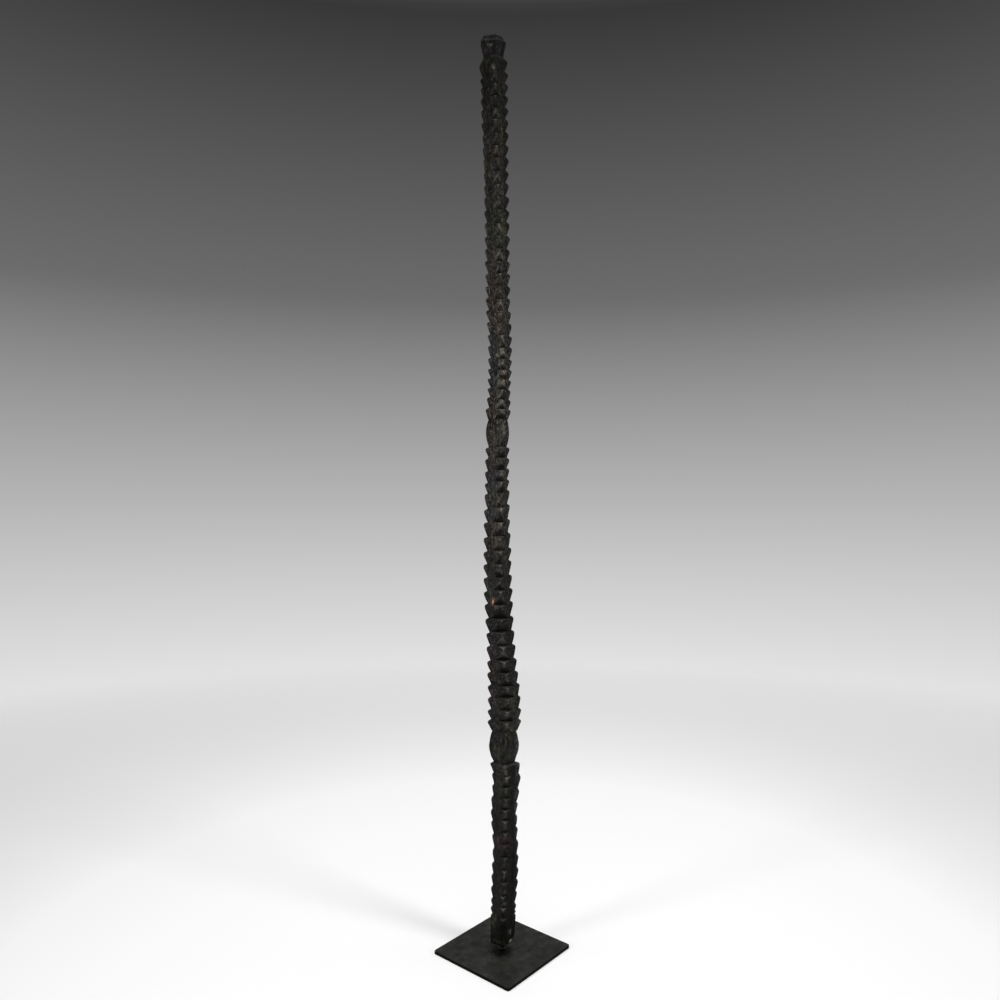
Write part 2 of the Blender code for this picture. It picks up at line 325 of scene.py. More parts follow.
rng = np.random.default_rng(CARVING_SEED)
lower_teeth, middle_teeth, upper_teeth = (teeth(run, rng) for run in (LOWER_RUN, MIDDLE_RUN, UPPER_RUN))
print("teeth on an arris:", sum(run["teeth"] for run in (LOWER_RUN, MIDDLE_RUN, UPPER_RUN)))

# %% [markdown]
# ## Barrels and finial
#
# A barrel is the stick drawn in at both ends, with a belly that follows half a sine wave. The finial is an
# eight-sided drum that widens to a lip, under a low dome: the dome's height follows the sine of an angle and
# its side a power of the cosine, so it rises upright above the lip and closes flat on top.

# %% Barrel and finial outlines
LOWER_BARREL = {"bottom": 489, "top": 571, "neck": -14.0, "belly": 0.0}
UPPER_BARREL = {"bottom": 1315, "top": 1386, "neck": -9.0, "belly": 0.0}
BARREL_ARRIS = 5 * MM
BARREL_ROWS = 24
BARREL_GAP_ROWS = 3

# Height, side, corner cut, share of the lip's dip, wear, and rows of mesh above it: the drum widens to a lip
# and slopes in again to the foot of the dome. The lip dips towards the front and the right arris
DRUM = (
    (2335, 49, 13, 0, 0.3, 6),
    (2352, 54.5, 15, 0.3, 0.5, 5),
    (2366, 60, 17, 0.7, 1.0, 4),
    (2375.5, 65, 18.5, 1, 1.0, 4),
    (2384.5, 56, 16, 1, 0.5, 1),
)
DRUM_FOOT, DRUM_FLARE, _, LIP, DOME_FOOT = (row[0] * MM for row in DRUM)
LIP_DIP = np.array((8, 4, 0, 0)) * MM
DRUM_LEAN = (0.3, 0.0, 0.0, 0.0)
DRUM_ROUNDING = 1.6
DOME_TOP = post_high[2] - 0.5 * MM
DOME_HEIGHT = DOME_TOP - PLATE_TOP - DOME_FOOT
DOME_FULLNESS = 0.5
DOME_CORNERS = 1.05
DOME_SOFTENING = 5
DOME_ROWS = 16


def barrel(size):
    """A swelling between two necks: what the sides gain is neck + (belly - neck) sin(pi share)."""
    share = np.arange(BARREL_ROWS + 1) / BARREL_ROWS
    z = (size["bottom"] + share * (size["top"] - size["bottom"])) * MM
    swell = (size["neck"] + (size["belly"] - size["neck"]) * np.sin(np.pi * share)) * MM
    steps = np.where(share < 1, 1, BARREL_GAP_ROWS)
    return outlines(z, BARREL_ARRIS, swell, steps=steps, rounding=2.5, crest=0.35)


def finial():
    """The drum's outlines, then the dome. The dome's side shrinks as cos(angle) to the power of its fullness
    while its height grows as sin(angle). Its corners soften as it closes, and the lip's dip fades out in it
    as the cube of cos(angle)."""
    drum_rows = np.array(DRUM, dtype=float).T
    z, side, cut = drum_rows[:3] * MM
    dip_share, crest, steps = drum_rows[3:]
    drum = outlines(
        z[:, None] - np.outer(dip_share, LIP_DIP),
        cut,
        side=side,
        steps=steps.astype(int),
        soften=1.0,
        rounding=DRUM_ROUNDING,
        crest=crest,
        lean=DRUM_LEAN,
    )
    angle = 0.5 * np.pi * np.arange(1, DOME_ROWS) / DOME_ROWS
    shrink = np.cos(angle) ** DOME_FULLNESS
    dome = outlines(
        z[-1] + DOME_HEIGHT * np.sin(angle)[:, None] - np.outer(np.cos(angle) ** 3, LIP_DIP),
        cut[-1] * shrink * DOME_CORNERS,
        side=side[-1] * shrink,
        soften=0.0,
        rounding=DRUM_ROUNDING + DOME_SOFTENING * np.sin(angle),
        crest=0.4,
        lean=DRUM_LEAN,
    )
    return drum, dome


lower_part = (foot, lower_teeth, barrel(LOWER_BARREL), middle_teeth)
upper_part = (barrel(UPPER_BARREL), upper_teeth, *finial())
knots = {name: np.concatenate([course[name] for course in lower_part + upper_part]) for name in foot}
print("outlines in the post:", len(knots["z"]))

# %% [markdown]
# ## Rows of mesh between the outlines
#
# The gap above each outline is filled with rows. They lie closer together near the outlines, where the
# surface turns, and further apart along the flats: step s of n is at the share (1 - cos(pi s / n)) / 2.
# Wear rounds the crest of a tooth but not the root, where the knife stopped and no hand reaches, so each
# row's cut is a soft mean of the cut a little below, at and above it, and the reach of that mean goes to
# nothing at a root.

# %% Fill in the rows
ROOT_SHARE = 0.7


def fill_rows(knots):
    """The outlines' values on every row, by a straight blend at the cosine shares."""
    steps = knots["steps"][:-1]
    span = np.repeat(np.arange(len(steps)), steps)
    step = np.arange(len(span)) - np.repeat(np.cumsum(steps) - steps, steps)
    share = 0.5 * (1 - np.cos(np.pi * step / steps[span]))
    span = np.append(span, len(steps) - 1)
    share = np.append(share, 1.0)
    rows = {}
    for name in ("z", "sides", "soften", "rounding", "crest", "lean", "cut"):
        weight = share.reshape((-1,) + (1,) * (knots[name].ndim - 1))
        rows[name] = (1 - weight) * knots[name][span] + weight * knots[name][span + 1]
    return rows


def worn_cut(knots, rows):
    """The cut on each row after wear: a quarter of the cut a reach below, half of the cut there and a
    quarter of the cut a reach above. The reach is kept under a share of the way to the nearest root."""
    cut = np.empty_like(rows["z"])
    for arris in range(4):
        z = rows["z"][:, arris]
        knot_z, knot_cut = knots["z"][:, arris], knots["cut"][:, arris]
        roots = knot_z[knots["crest"][:, arris] == 0]
        to_root = np.abs(z[:, None] - roots[None, :]).min(axis=1)
        reach = np.minimum(rows["soften"][:, arris], ROOT_SHARE * to_root)
        below, here, above = (np.interp(z + move * reach, knot_z, knot_cut) for move in (-1, 0, 1))
        cut[:, arris] = (below + 2 * here + above) / 4
    return cut


rows = fill_rows(knots)
rows["cut"] = worn_cut(knots, rows)
print("rows of mesh:", len(rows["z"]))

# %% [markdown]
# ## Columns of mesh round the stick
#
# Each row goes round the stick by way of the four arrises. At an arris the corner is cut off by a small
# facet between a point on one face and a point on the next, and both edges of that facet are rounded by a
# quadratic Bezier curve, as a thumb and years of oil would round them. Between two arrises the row crosses
# a face. Three of the columns there stay close together, on a line that wanders up the face: they can carry
# a drying check, which is the narrow crack that opens when the outside of a stick dries first.

# %% Section columns
AHEAD = np.array(((0, 1), (-1, 0), (0, -1), (1, 0)))
BACK = -np.roll(AHEAD, 1, axis=0)
EDGE_SHARES = np.linspace(0, 1, 5)
FACET_SHARES = np.array((0.25, 0.5, 0.75))
LARGEST_ROUNDING = 0.45
CHECK_HALF_WIDTH = 0.55 * MM
ARRIS_COLUMNS = 13
FACE_COLUMNS = 7
RING = ARRIS_COLUMNS + FACE_COLUMNS

# How the line of the checks wanders: share of the face, metres a wave, and lag from face to face
CHECK_WANDER = ((0.13, 0.61, 1.9), (0.07, 0.23, 1.0))


def bezier(start, corner, end):
    """Five points of the quadratic Bezier curve, (1-t)^2 start + 2t(1-t) corner + t^2 end."""
    t = EDGE_SHARES[:, None]
    start, corner, end = (point[..., None, :] for point in (start, corner, end))
    return (1 - t) ** 2 * start + 2 * t * (1 - t) * corner + t**2 * end


def arris_points(rows):
    """Thirteen points across each cut arris: a rounded edge, three points on the facet, a rounded edge."""
    corner = ARRISES * rows["sides"] / 2
    behind = corner + BACK * (rows["cut"] * (1 + rows["lean"]))[..., None]
    beyond = corner + AHEAD * (rows["cut"] * (1 - rows["lean"]))[..., None]
    facet = beyond - behind
    length = np.linalg.norm(facet, axis=-1, keepdims=True)
    radius = np.minimum(rows["rounding"][..., None], LARGEST_ROUNDING * length)
    inward = facet / length * radius
    first = bezier(behind + BACK * radius, behind, behind + inward)
    last = bezier(beyond - inward, beyond, beyond + AHEAD * radius)
    middle = (behind + inward)[..., None, :] + FACET_SHARES[:, None] * (facet - 2 * inward)[..., None, :]
    return np.concatenate((first, middle, last), axis=-2)


def face_shares(rows):
    """Where the seven columns of each face lie, from 0 at one arris to 1 at the next. The middle one is at a
    half, plus two sines of the height."""
    z = rows["z"].mean(axis=1)[:, None]
    turn = np.arange(4)
    middle = 0.5
    for size, wave, lag in CHECK_WANDER:
        middle = middle + size * np.sin(2 * np.pi * z / wave + lag * turn)
    width = np.linalg.norm(rows["sides"] * (BACK == 0), axis=-1)
    slit = CHECK_HALF_WIDTH / width
    shares = (middle / 3, middle * 2 / 3, middle - slit, middle, middle + slit)
    return np.stack(shares + (middle + (1 - middle) / 3, middle + (1 - middle) * 2 / 3), axis=-1)


def section(rows):
    """All the columns of every row, before twist and bow, as points with their heights."""
    arris = arris_points(rows)
    z = np.broadcast_to(rows["z"][..., None, None], arris.shape[:-1] + (1,))
    arris = np.concatenate((arris, z), axis=-1)
    start = arris[:, :, -1:]
    end = np.roll(arris, -1, axis=1)[:, :, :1]
    share = face_shares(rows)[..., None]
    face = (1 - share) * start + share * end
    return np.concatenate((arris, face), axis=2).reshape(len(arris), -1, 3)


local = section(rows)
COLUMNS = local.shape[1]
print("columns of mesh:", COLUMNS, "and triangles:", 2 * COLUMNS * len(local))

# %% [markdown]
# ## Twist and bow
#
# The teeth follow the grain, so the sections are turned and shifted after they are drawn: each point turns
# by the twist at its own height and moves sideways by the bow there.

# %% Twist and bow the sections


def set_on_stick(points):
    """Turn each point about the stick's middle and move it by the bow, then stand it on the plate."""
    twist, bow = stick_at(points[..., 2])[2:]
    x = points[..., 0] * np.cos(twist) - points[..., 1] * np.sin(twist)
    y = points[..., 0] * np.sin(twist) + points[..., 1] * np.cos(twist)
    x = x + bow * np.cos(BOW_DIRECTION)
    y = y + bow * np.sin(BOW_DIRECTION)
    return np.stack((x, y, points[..., 2] + PLATE_TOP), axis=-1)


carved = set_on_stick(local)
print("carved box, mm:", np.round(carved.min(axis=(0, 1)) / MM), np.round(carved.max(axis=(0, 1)) / MM))

# %% [markdown]
# ## Helpers for relief
#
# Hand work is uneven at several sizes at once. Value noise is a good stand-in: random heights on the corners
# of a lattice of cubes, blended smoothly inside each cube. It reads a point's own place, so the same bump
# stays at the same spot on the wood, and a stretched lattice gives marks that run with the grain.

# %% Noise and normals
LATTICE = 32


def value_noise(points, cell, seed):
    """Smooth random heights from -1 to 1. The eight corners of a point's cell are blended by the products
    of t t (3 - 2t) and its complement along each axis; cell is the lattice's spacing in mm, one number or
    one each along X, Y and Z."""
    table = np.random.default_rng(seed).uniform(-1, 1, (LATTICE,) * 3)
    spot = points / (np.asarray(cell) * MM)
    low = np.floor(spot).astype(int)
    t = spot - low
    t = t * t * (3 - 2 * t)
    total = np.zeros(points.shape[:-1])
    for corner in np.ndindex(2, 2, 2):
        weight = np.prod(np.where(corner, t, 1 - t), axis=-1)
        i, j, k = np.moveaxis((low + corner) % LATTICE, -1, 0)
        total += weight * table[i, j, k]
    return total


def grid_normals(points):
    """Outward unit normals of a closed grid: the cross product of its steps round and its steps up."""
    around = np.roll(points, -1, axis=1) - np.roll(points, 1, axis=1)
    up = np.gradient(points, axis=0)
    normal = np.cross(around, up)
    return normal / np.maximum(np.linalg.norm(normal, axis=-1, keepdims=True), 1e-12)


print("noise spans", np.round(value_noise(carved[::40, ::8], 20, 1).min(), 2), "to 1")

# %% [markdown]
# ## Marks of the hand
#
# Three scales of unevenness: slow hollows from the adze, long flats where a knife has run with the grain,
# and small dents. Drying checks open along the middle of the faces. Each starts and ends in a point, and
# the deepest part is a few millimetres deep.

# %% Unevenness and drying checks
# Cell and height in mm, and seed
HOLLOWS = ((45, 45, 70), 0.7, 11)
FLATS = ((11, 11, 48), 0.55, 12)
DENTS = ((8, 8, 10), 0.6, 13)

# Face, middle height, half length and depth in mm, faces counted from the one after the front arris
CHECKS = (
    (0, 300, 120, 4.0),
    (0, 905, 90, 3.0),
    (0, 1600, 130, 3.5),
    (0, 2190, 80, 3.0),
    (1, 420, 160, 5.0),
    (1, 1180, 140, 4.0),
    (1, 2020, 190, 4.5),
    (2, 180, 110, 4.0),
    (2, 800, 170, 5.0),
    (2, 1700, 200, 4.0),
    (3, 240, 90, 3.0),
    (3, 1060, 110, 3.5),
    (3, 1520, 90, 3.0),
    (3, 2240, 70, 2.5),
)


def check_depths(points):
    """How deep the drying checks cut at each point: a half ellipse along the check's length, on the middle
    column of its face only."""
    z = points[..., 2] - PLATE_TOP
    column = np.arange(COLUMNS)
    depth = np.zeros(points.shape[:-1])
    for face, height, reach, deepest in CHECKS:
        middle = face * RING + ARRIS_COLUMNS + FACE_COLUMNS // 2
        along = np.clip(1 - ((z - height * MM) / (reach * MM)) ** 2, 0, 1) ** 0.5
        depth += (column == middle) * along * deepest * MM
    return depth


normals = grid_normals(carved)
relief = np.zeros(carved.shape[:-1])
for cell, rise, seed in (HOLLOWS, FLATS, DENTS):
    relief += rise * MM * value_noise(carved, cell, seed)
checks = check_depths(carved)
print("relief, mm:", np.round(relief.min() / MM, 2), "to", np.round(relief.max() / MM, 2))

# %% [markdown]
# ## Wear on the teeth
#
# No two crests have worn alike. A second noise, coarse enough to change from tooth to tooth, presses some
# crests back by as much as a millimetre and a half and leaves others sharp.

# %% Blunt some crests
BLUNTING = 1.6 * MM
BLUNT_PATTERN = ((40, 40, 34), 21)
crest_rows = np.repeat(rows["crest"], RING, axis=1)
arris_column = np.tile(np.arange(RING) < ARRIS_COLUMNS, 4)
blunt = np.clip(value_noise(carved, *BLUNT_PATTERN), 0, 1) * (crest_rows * arris_column)
post_points = carved + normals * (relief - BLUNTING * blunt - checks)[..., None]
print("crests pressed back by up to", np.round((BLUNTING * blunt).max() / MM, 2), "mm")

# %% [markdown]
# ## The underside and the rod's hole
#
# The post hangs on a rod in a blind hole. Below the lowest row the same grid goes on: in under the foot, up
# the wall of the hole and to its end, so the surface is one closed skin.

# %% Close the foot round the hole
ROD_RADIUS = 8 * MM
CLEARANCE = 0.3 * MM
RIM_LIFT = 0.2 * MM
HOLE_RADIUS = ROD_RADIUS + CLEARANCE
HOLE_TOP = rod_high[2] + CLEARANCE


def ring(radius, z, like):
    """A ring of the given radius, with its points at the angles of the row that it joins."""
    middle = like.mean(axis=0)
    angle = np.arctan2(like[:, 1] - middle[1], like[:, 0] - middle[0])
    return np.stack((radius * np.cos(angle), radius * np.sin(angle), np.full(len(angle), z)), axis=-1)


lowest = post_points[0]
rim = ring(HOLE_RADIUS, post_low[2] + RIM_LIFT, lowest)
hidden_rows = np.stack((ring(HOLE_RADIUS, HOLE_TOP, lowest), rim, (rim + lowest) / 2))
skin = np.concatenate((hidden_rows, post_points))
print("hole depth, mm:", round((HOLE_TOP - post_low[2]) / MM, 1))

# %% [markdown]
# ## From grid to mesh
#
# A grid that closes on itself, with a point at each end, becomes a mesh in one step: four-sided faces
# between neighbouring rows and a fan of triangles at each pole. The order of each face's corners makes it
# face outwards.

# %% Build a mesh from a closed grid
SHARP_ANGLE = np.radians(38)


def grid_piece(name, grid, low_pole, high_pole, material):
    """One closed piece from a grid of rows and columns and its two poles."""
    count, columns = grid.shape[:2]
    points = np.concatenate((grid.reshape(-1, 3), (low_pole, high_pole)))
    here = np.arange(count * columns).reshape(count, columns)
    after = np.roll(here, -1, axis=1)
    quads = np.stack((here[:-1], after[:-1], after[1:], here[1:]), axis=-1).reshape(-1, 4)
    low = np.stack((after[0], here[0], np.full(columns, count * columns)), axis=-1)
    high = np.stack((here[-1], after[-1], np.full(columns, count * columns + 1)), axis=-1)
    mesh = bpy.data.meshes.new(name)
    mesh.from_pydata(points.tolist(), [], quads.tolist() + low.tolist() + high.tolist())
    mesh.materials.append(material)
    mesh.shade_smooth()
    mesh.set_sharp_from_angle(angle=SHARP_ANGLE)
    piece = bpy.data.objects.new(name, mesh)
    bpy.context.scene.collection.objects.link(piece)
    triangles = 2 * len(quads) + len(low) + len(high)
    print(name, "has", triangles, "triangles")
    return piece


def store(piece, name, values, kind="FLOAT"):
    """Keep a value for each point of the piece, under a name that a material can read."""
    field = "color" if kind == "FLOAT_COLOR" else "value"
    attribute = piece.data.attributes.new(name, kind, "POINT")
    attribute.data.foreach_set(field, np.ascontiguousarray(values, dtype=np.float32).ravel())


# %% [markdown]
# ## What the surface remembers
#
# The finish of old wood follows its shape, so the amounts of wear, dust and soot are worked out here, where
# the shape is known, and stored on the mesh for the material. Two small curves do most of that work: a bell
# for what is strongest in one place, and a slope for what sets in or fades out along the post.

# %% Places on the post, and two curves
# Column in a ring, and how far it lies from the arris in quarter turns
QUARTER_TURNS = ((0, 6, 12, 16, 19), (-0.16, 0.0, 0.16, 0.5, 0.8))
HAND_HEIGHT = 1480 * MM
HAND_REACH = 480 * MM
height = post_points[..., 2] - PLATE_TOP
place = np.arange(COLUMNS) % RING
arris = np.arange(COLUMNS) // RING
turn = arris + np.interp(place, *QUARTER_TURNS)


def bell(value, middle, reach):
    """exp(-((value - middle) / reach) squared): 1 in the middle, about a third at the reach."""
    return np.exp(-(((value - middle) / reach) ** 2))


def slope(value, start, length):
    """0 before the start, then straight up to 1 over the length. A negative length runs downwards."""
    return np.clip((value - start) / length, 0, 1)


near_hand = bell(height, HAND_HEIGHT, HAND_REACH)
print("share of the post near the hand:", round(float((near_hand > 0.5).mean()), 2))

# %% [markdown]
# ## Wear and painted highlights
#
# Hands, sleeves and dusters rub what stands out: strokes run along both edges of an arris, and the middle of
# a crest is rubbed in a dot that grows into a stem on the low, wide teeth. Their pale colour is part wear and
# part painted highlight: the dots stand for glints on the crests and the strokes for the sheen of the edges.
# It is strongest at the height of a hand and on the front arris. The foot and the topmost teeth, which nobody
# reaches, keep little of it.

# %% Work out the wear and the painted highlights
# Column in a ring, and how much of a stroke it takes
STROKE_COLUMNS = ((0, 2, 4, 5, 7, 8, 10, 12, 13), (0.4, 1, 0.6, 0, 0, 0.3, 0.7, 0.3, 0))
STEM_COLUMNS = (4, 5, 6, 7, 8)

# Cell in mm and seed of two noises, and gain, offset and limit of what the first one leaves of a mark
BREAKS = ((9, 9, 14), 31)
UNEVENNESS = ((60, 60, 26), 32)
STROKE_GAPS = (1.9, -0.4, 1.2)
DOT_GAPS = (2.0, -0.3, 1.5)
# How much strokes and dots lay on: part wear, part painted highlight
STROKE_WEAR_AND_SHEEN = 0.75
STROKE_ON_CREST = 1.1
STROKE_BETWEEN = 0.12
DOT_WEAR_AND_GLINT = 1.2
DOT_POWER = 6.0
STEM_POWER = 1.5
STEM_START = (1050 * MM, -250 * MM)
WEAR_EVERYWHERE = 0.40
WEAR_AT_HAND = 0.70
LIP_WEAR = 0.6
LIP_EDGE = 1.5 * MM
ARRIS_WEAR = np.array((1.0, 0.45, 0.5, 0.75))
UNEVEN_MEAN = 0.55
UNEVEN_REACH = 0.9
UNEVEN_LIMITS = (0.05, 1.3)
FOOT_END = (70 * MM, 20 * MM)
FOOT_WEAR = 0.1
TOP_TEETH = (2120 * MM, 100 * MM)
TOP_LESS_WORN = 0.45


def broken_up(gain, offset, most):
    """What a noise from 0 to 1 leaves of a mark: gain x noise + offset, kept between 0 and the most."""
    return np.clip(gain * (0.5 + 0.5 * value_noise(carved, *BREAKS)) + offset, 0, most)


def wear_and_highlight_amount():
    """(strokes + dots) x handling x arris x unevenness. Both are broken up by one noise. A stroke follows
    the edges' columns, and a dot is the crest's value to a power that is lower on the low teeth. Both are
    part wear and part painted highlight: glints on the crests, sheen along the edges."""
    along_edge = np.clip(crest_rows * STROKE_ON_CREST + STROKE_BETWEEN, 0, 1)
    strokes = np.interp(place, *STROKE_COLUMNS) * along_edge * broken_up(*STROKE_GAPS)
    power = DOT_POWER - (DOT_POWER - STEM_POWER) * slope(height, *STEM_START)
    dots = np.isin(place, STEM_COLUMNS) * crest_rows**power * broken_up(*DOT_GAPS)
    rubbing = np.clip(STROKE_WEAR_AND_SHEEN * strokes + DOT_WEAR_AND_GLINT * dots * (height < DRUM_FOOT), 0, 1)
    on_lip = (height > DRUM_FLARE) & (height < LIP + LIP_EDGE)
    handled = np.where(on_lip, LIP_WEAR, (WEAR_EVERYWHERE + WEAR_AT_HAND * near_hand) * (height < LIP))
    uneven = np.clip(UNEVEN_MEAN + UNEVEN_REACH * value_noise(carved, *UNEVENNESS), *UNEVEN_LIMITS)
    amount = rubbing * handled * ARRIS_WEAR[arris] * uneven
    amount *= np.maximum(FOOT_WEAR, slope(height, *FOOT_END))
    return amount * (1 - TOP_LESS_WORN * slope(height, *TOP_TEETH))


worn = wear_and_highlight_amount()
print("mean wear:", round(float(worn.mean()), 3))

# %% [markdown]
# ## Dust and soot, with painted light and shade
#
# Dust lies on what faces up, and its pale colour also stands for the light that these faces catch: painted
# light. Smoke and oil have blackened the bevels under the crests and the insides of the checks, and that
# black also stands for their shade: soot and painted shade. The dome and the upward ledges near the roof are
# painted dark against the light from above, and the low part of the right face is painted darker, as the side
# that the light misses.

# %% Work out the dust and the soot, with painted light and shade
TOP_LEDGE = 2300 * MM
SHADE_FADES_ABOVE = (1480 * MM, 200 * MM)
RECESS_GAIN = (2.0, 0.9)
RECESS_FAINTER = 0.48
SHELF_GAIN = (2.2, 0.4)
# Painted shade on the dome, against the light from above
CAP_PAINTED_SHADE = 1.0
# Painted shade on the low part of the right face, the side that the light misses
RIGHT_PAINTED_SHADE = 0.8
RIGHT_TURN = (0.52, 0.36)
RIGHT_STRETCH = (560 * MM, -100 * MM)


def dust_soot_and_painted_light():
    """Dust with painted light is a slope of the normal's upward part. Soot with painted shade is the largest
    of
    these: the distance from the crest on an arris's columns, an open check, a shelf near the roof, the dome,
    and the low part of the right face."""
    shelf = np.clip(SHELF_GAIN[0] * grid_normals(post_points)[..., 2] - SHELF_GAIN[1], 0, 1)
    # Dust, and painted light, on what faces up below the roof
    ledge = shelf * (height < TOP_LEDGE)
    high_up = slope(height, *SHADE_FADES_ABOVE)
    # Soot and painted shade in the cuts: strongest far from a crest, fainter higher up
    away = np.clip((1 - crest_rows) * (RECESS_GAIN[0] - RECESS_GAIN[1] * high_up), 0, 1)
    recess = arris_column * away * (1 - RECESS_FAINTER * high_up)
    hollow = np.maximum(recess * (1 - ledge), checks > 0)
    # Painted shade on the upward ledges near the roof and on the dome, against the light from above
    hollow = np.maximum(hollow, shelf * (height >= TOP_LEDGE))
    hollow = np.where(height > LIP - LIP_DIP[arris], CAP_PAINTED_SHADE, hollow)
    # Painted shade on the low part of the right face
    on_right = bell(turn, *RIGHT_TURN) * slope(height, *RIGHT_STRETCH)
    return ledge, np.maximum(hollow, RIGHT_PAINTED_SHADE * on_right)


ledge, hollow = dust_soot_and_painted_light()
print("mean dust:", round(float(ledge.mean()), 3), "and mean soot:", round(float(hollow.mean()), 3))

# %% [markdown]
# ## Chatter and flecks
#
# Round the lower barrel a blade has chattered and left bands across the grain, and fainter ones run on below
# it. Pale flecks and dark pits, where the patina has chipped, are thickest where the post was handled and
# just above that.

# %% Work out the chatter and the flecks
CHATTER_MIDDLE = 720 * MM
CHATTER_REACH = 160 * MM
CHATTER_PEAK = 1.5
LOW_CHATTER = 0.45
LOW_CHATTER_TOP = 500 * MM
FLECKED_MIDDLE = 1680 * MM
FLECKED_REACH = 150 * MM
FLECKS_EVERYWHERE = 0.32
LOW_STRETCH = (420 * MM, -200 * MM)
TOP_STRETCH = (2270 * MM, 20 * MM)
LOW_FEWER = 0.5
TOP_FEWER = 0.7
fainter_below = LOW_CHATTER * (height < LOW_CHATTER_TOP)
chatter = np.clip(CHATTER_PEAK - np.abs(height - CHATTER_MIDDLE) / CHATTER_REACH, fainter_below, 1)
flecked = FLECKS_EVERYWHERE + (1 - FLECKS_EVERYWHERE) * bell(height, FLECKED_MIDDLE, FLECKED_REACH)
flecked = np.maximum(flecked, near_hand)
flecked *= 1 - TOP_FEWER * slope(height, *TOP_STRETCH)
flecked *= 1 - LOW_FEWER * slope(height, *LOW_STRETCH)
print("mean chatter:", round(float(chatter.mean()), 3), "and mean flecks:", round(float(flecked.mean()), 3))

# %% [markdown]
# ## Patches of patina
#
# The ground colour is nearly black. Patches lie over it, each given by a height, a quarter turn round the
# post (0 is the front arris, 1 the right, 2 the back and 3 the left), how far it spreads and its tint. A
# patch fades as a bell curve, and noise frays its border, so that it never looks sprayed on. A later patch
# lies over an earlier one. Some tints also show inside the cuts, over the soot and painted shade, and cover
# the wear and painted highlights. The ground itself is painted paler around the middle of the post's height,
# most of all on the front arris, and darker at both ends: painted light, for how the light falls along the
# post.

# %% Lay the patches
GROUND = np.array((0.0072, 0.0066, 0.0056))
# Painted light along the height: the ground's tone at the ends and at the middle, how far the paler middle
# reaches, how much paler the front arris is, and painted shade at both ends
LEAST_PAINTED_LIGHT = 0.60
MOST_PAINTED_LIGHT = 1.30
PAINTED_LIGHT_REACH = 1.4 * HAND_REACH
FRONT_TURN = (0.1, 0.28)
FRONT_PAINTED_LIGHT = 1.1
LOW_PAINTED_SHADE = 0.26
HIGH_PAINTED_SHADE = 0.32
HIGH_STRETCH = (2200 * MM, 70 * MM)
FRAY_MEAN = 0.65
FRAY_REACH = 0.6
FRAY_PATTERN = ((6, 6, 16), 41)
PATCH_STRENGTH = 1.8
# How far a tint that shows in the cuts covers the soot and painted shade, and the wear and painted highlights
SOOT_AND_SHADE_COVERED = 0.8
WEAR_AND_HIGHLIGHT_COVERED = 0.7
TINTS = {
    "russet": (0.0130, 0.0068, 0.0048),
    "olive": (0.0120, 0.0125, 0.0075),
    "cream": (0.0620, 0.0600, 0.0450),
    "lichen": (0.0440, 0.0460, 0.0300),
    "tan": (0.0285, 0.0198, 0.0142),
    "slate": (0.0120, 0.0128, 0.0145),
    "bare": (0.2300, 0.1300, 0.0920),
    "fresh": (0.5500, 0.5300, 0.4800),
    # A pale grey; low on the right arris it is a painted highlight
    "ash_and_highlight": (0.0420, 0.0430, 0.0425),
    "moss": (0.0125, 0.0215, 0.0080),
    "maroon": (0.0140, 0.0066, 0.0076),
    "ox_blood": (0.0210, 0.0040, 0.0050),
    "mustard": (0.0400, 0.0370, 0.0150),
    "soot": (0.0034, 0.0030, 0.0026),
    "mauve": (0.0125, 0.0095, 0.0122),
}

# How much of a tint shows inside the cuts, if any
SHOWN_IN_CUTS = {
    "maroon": 1,
    "ox_blood": 1,
    "mustard": 1,
    "moss": 1,
    "bare": 1,
    "ash_and_highlight": 1,
    "tan": 0.6,
    "russet": 0.5,
    "olive": 0.4,
}

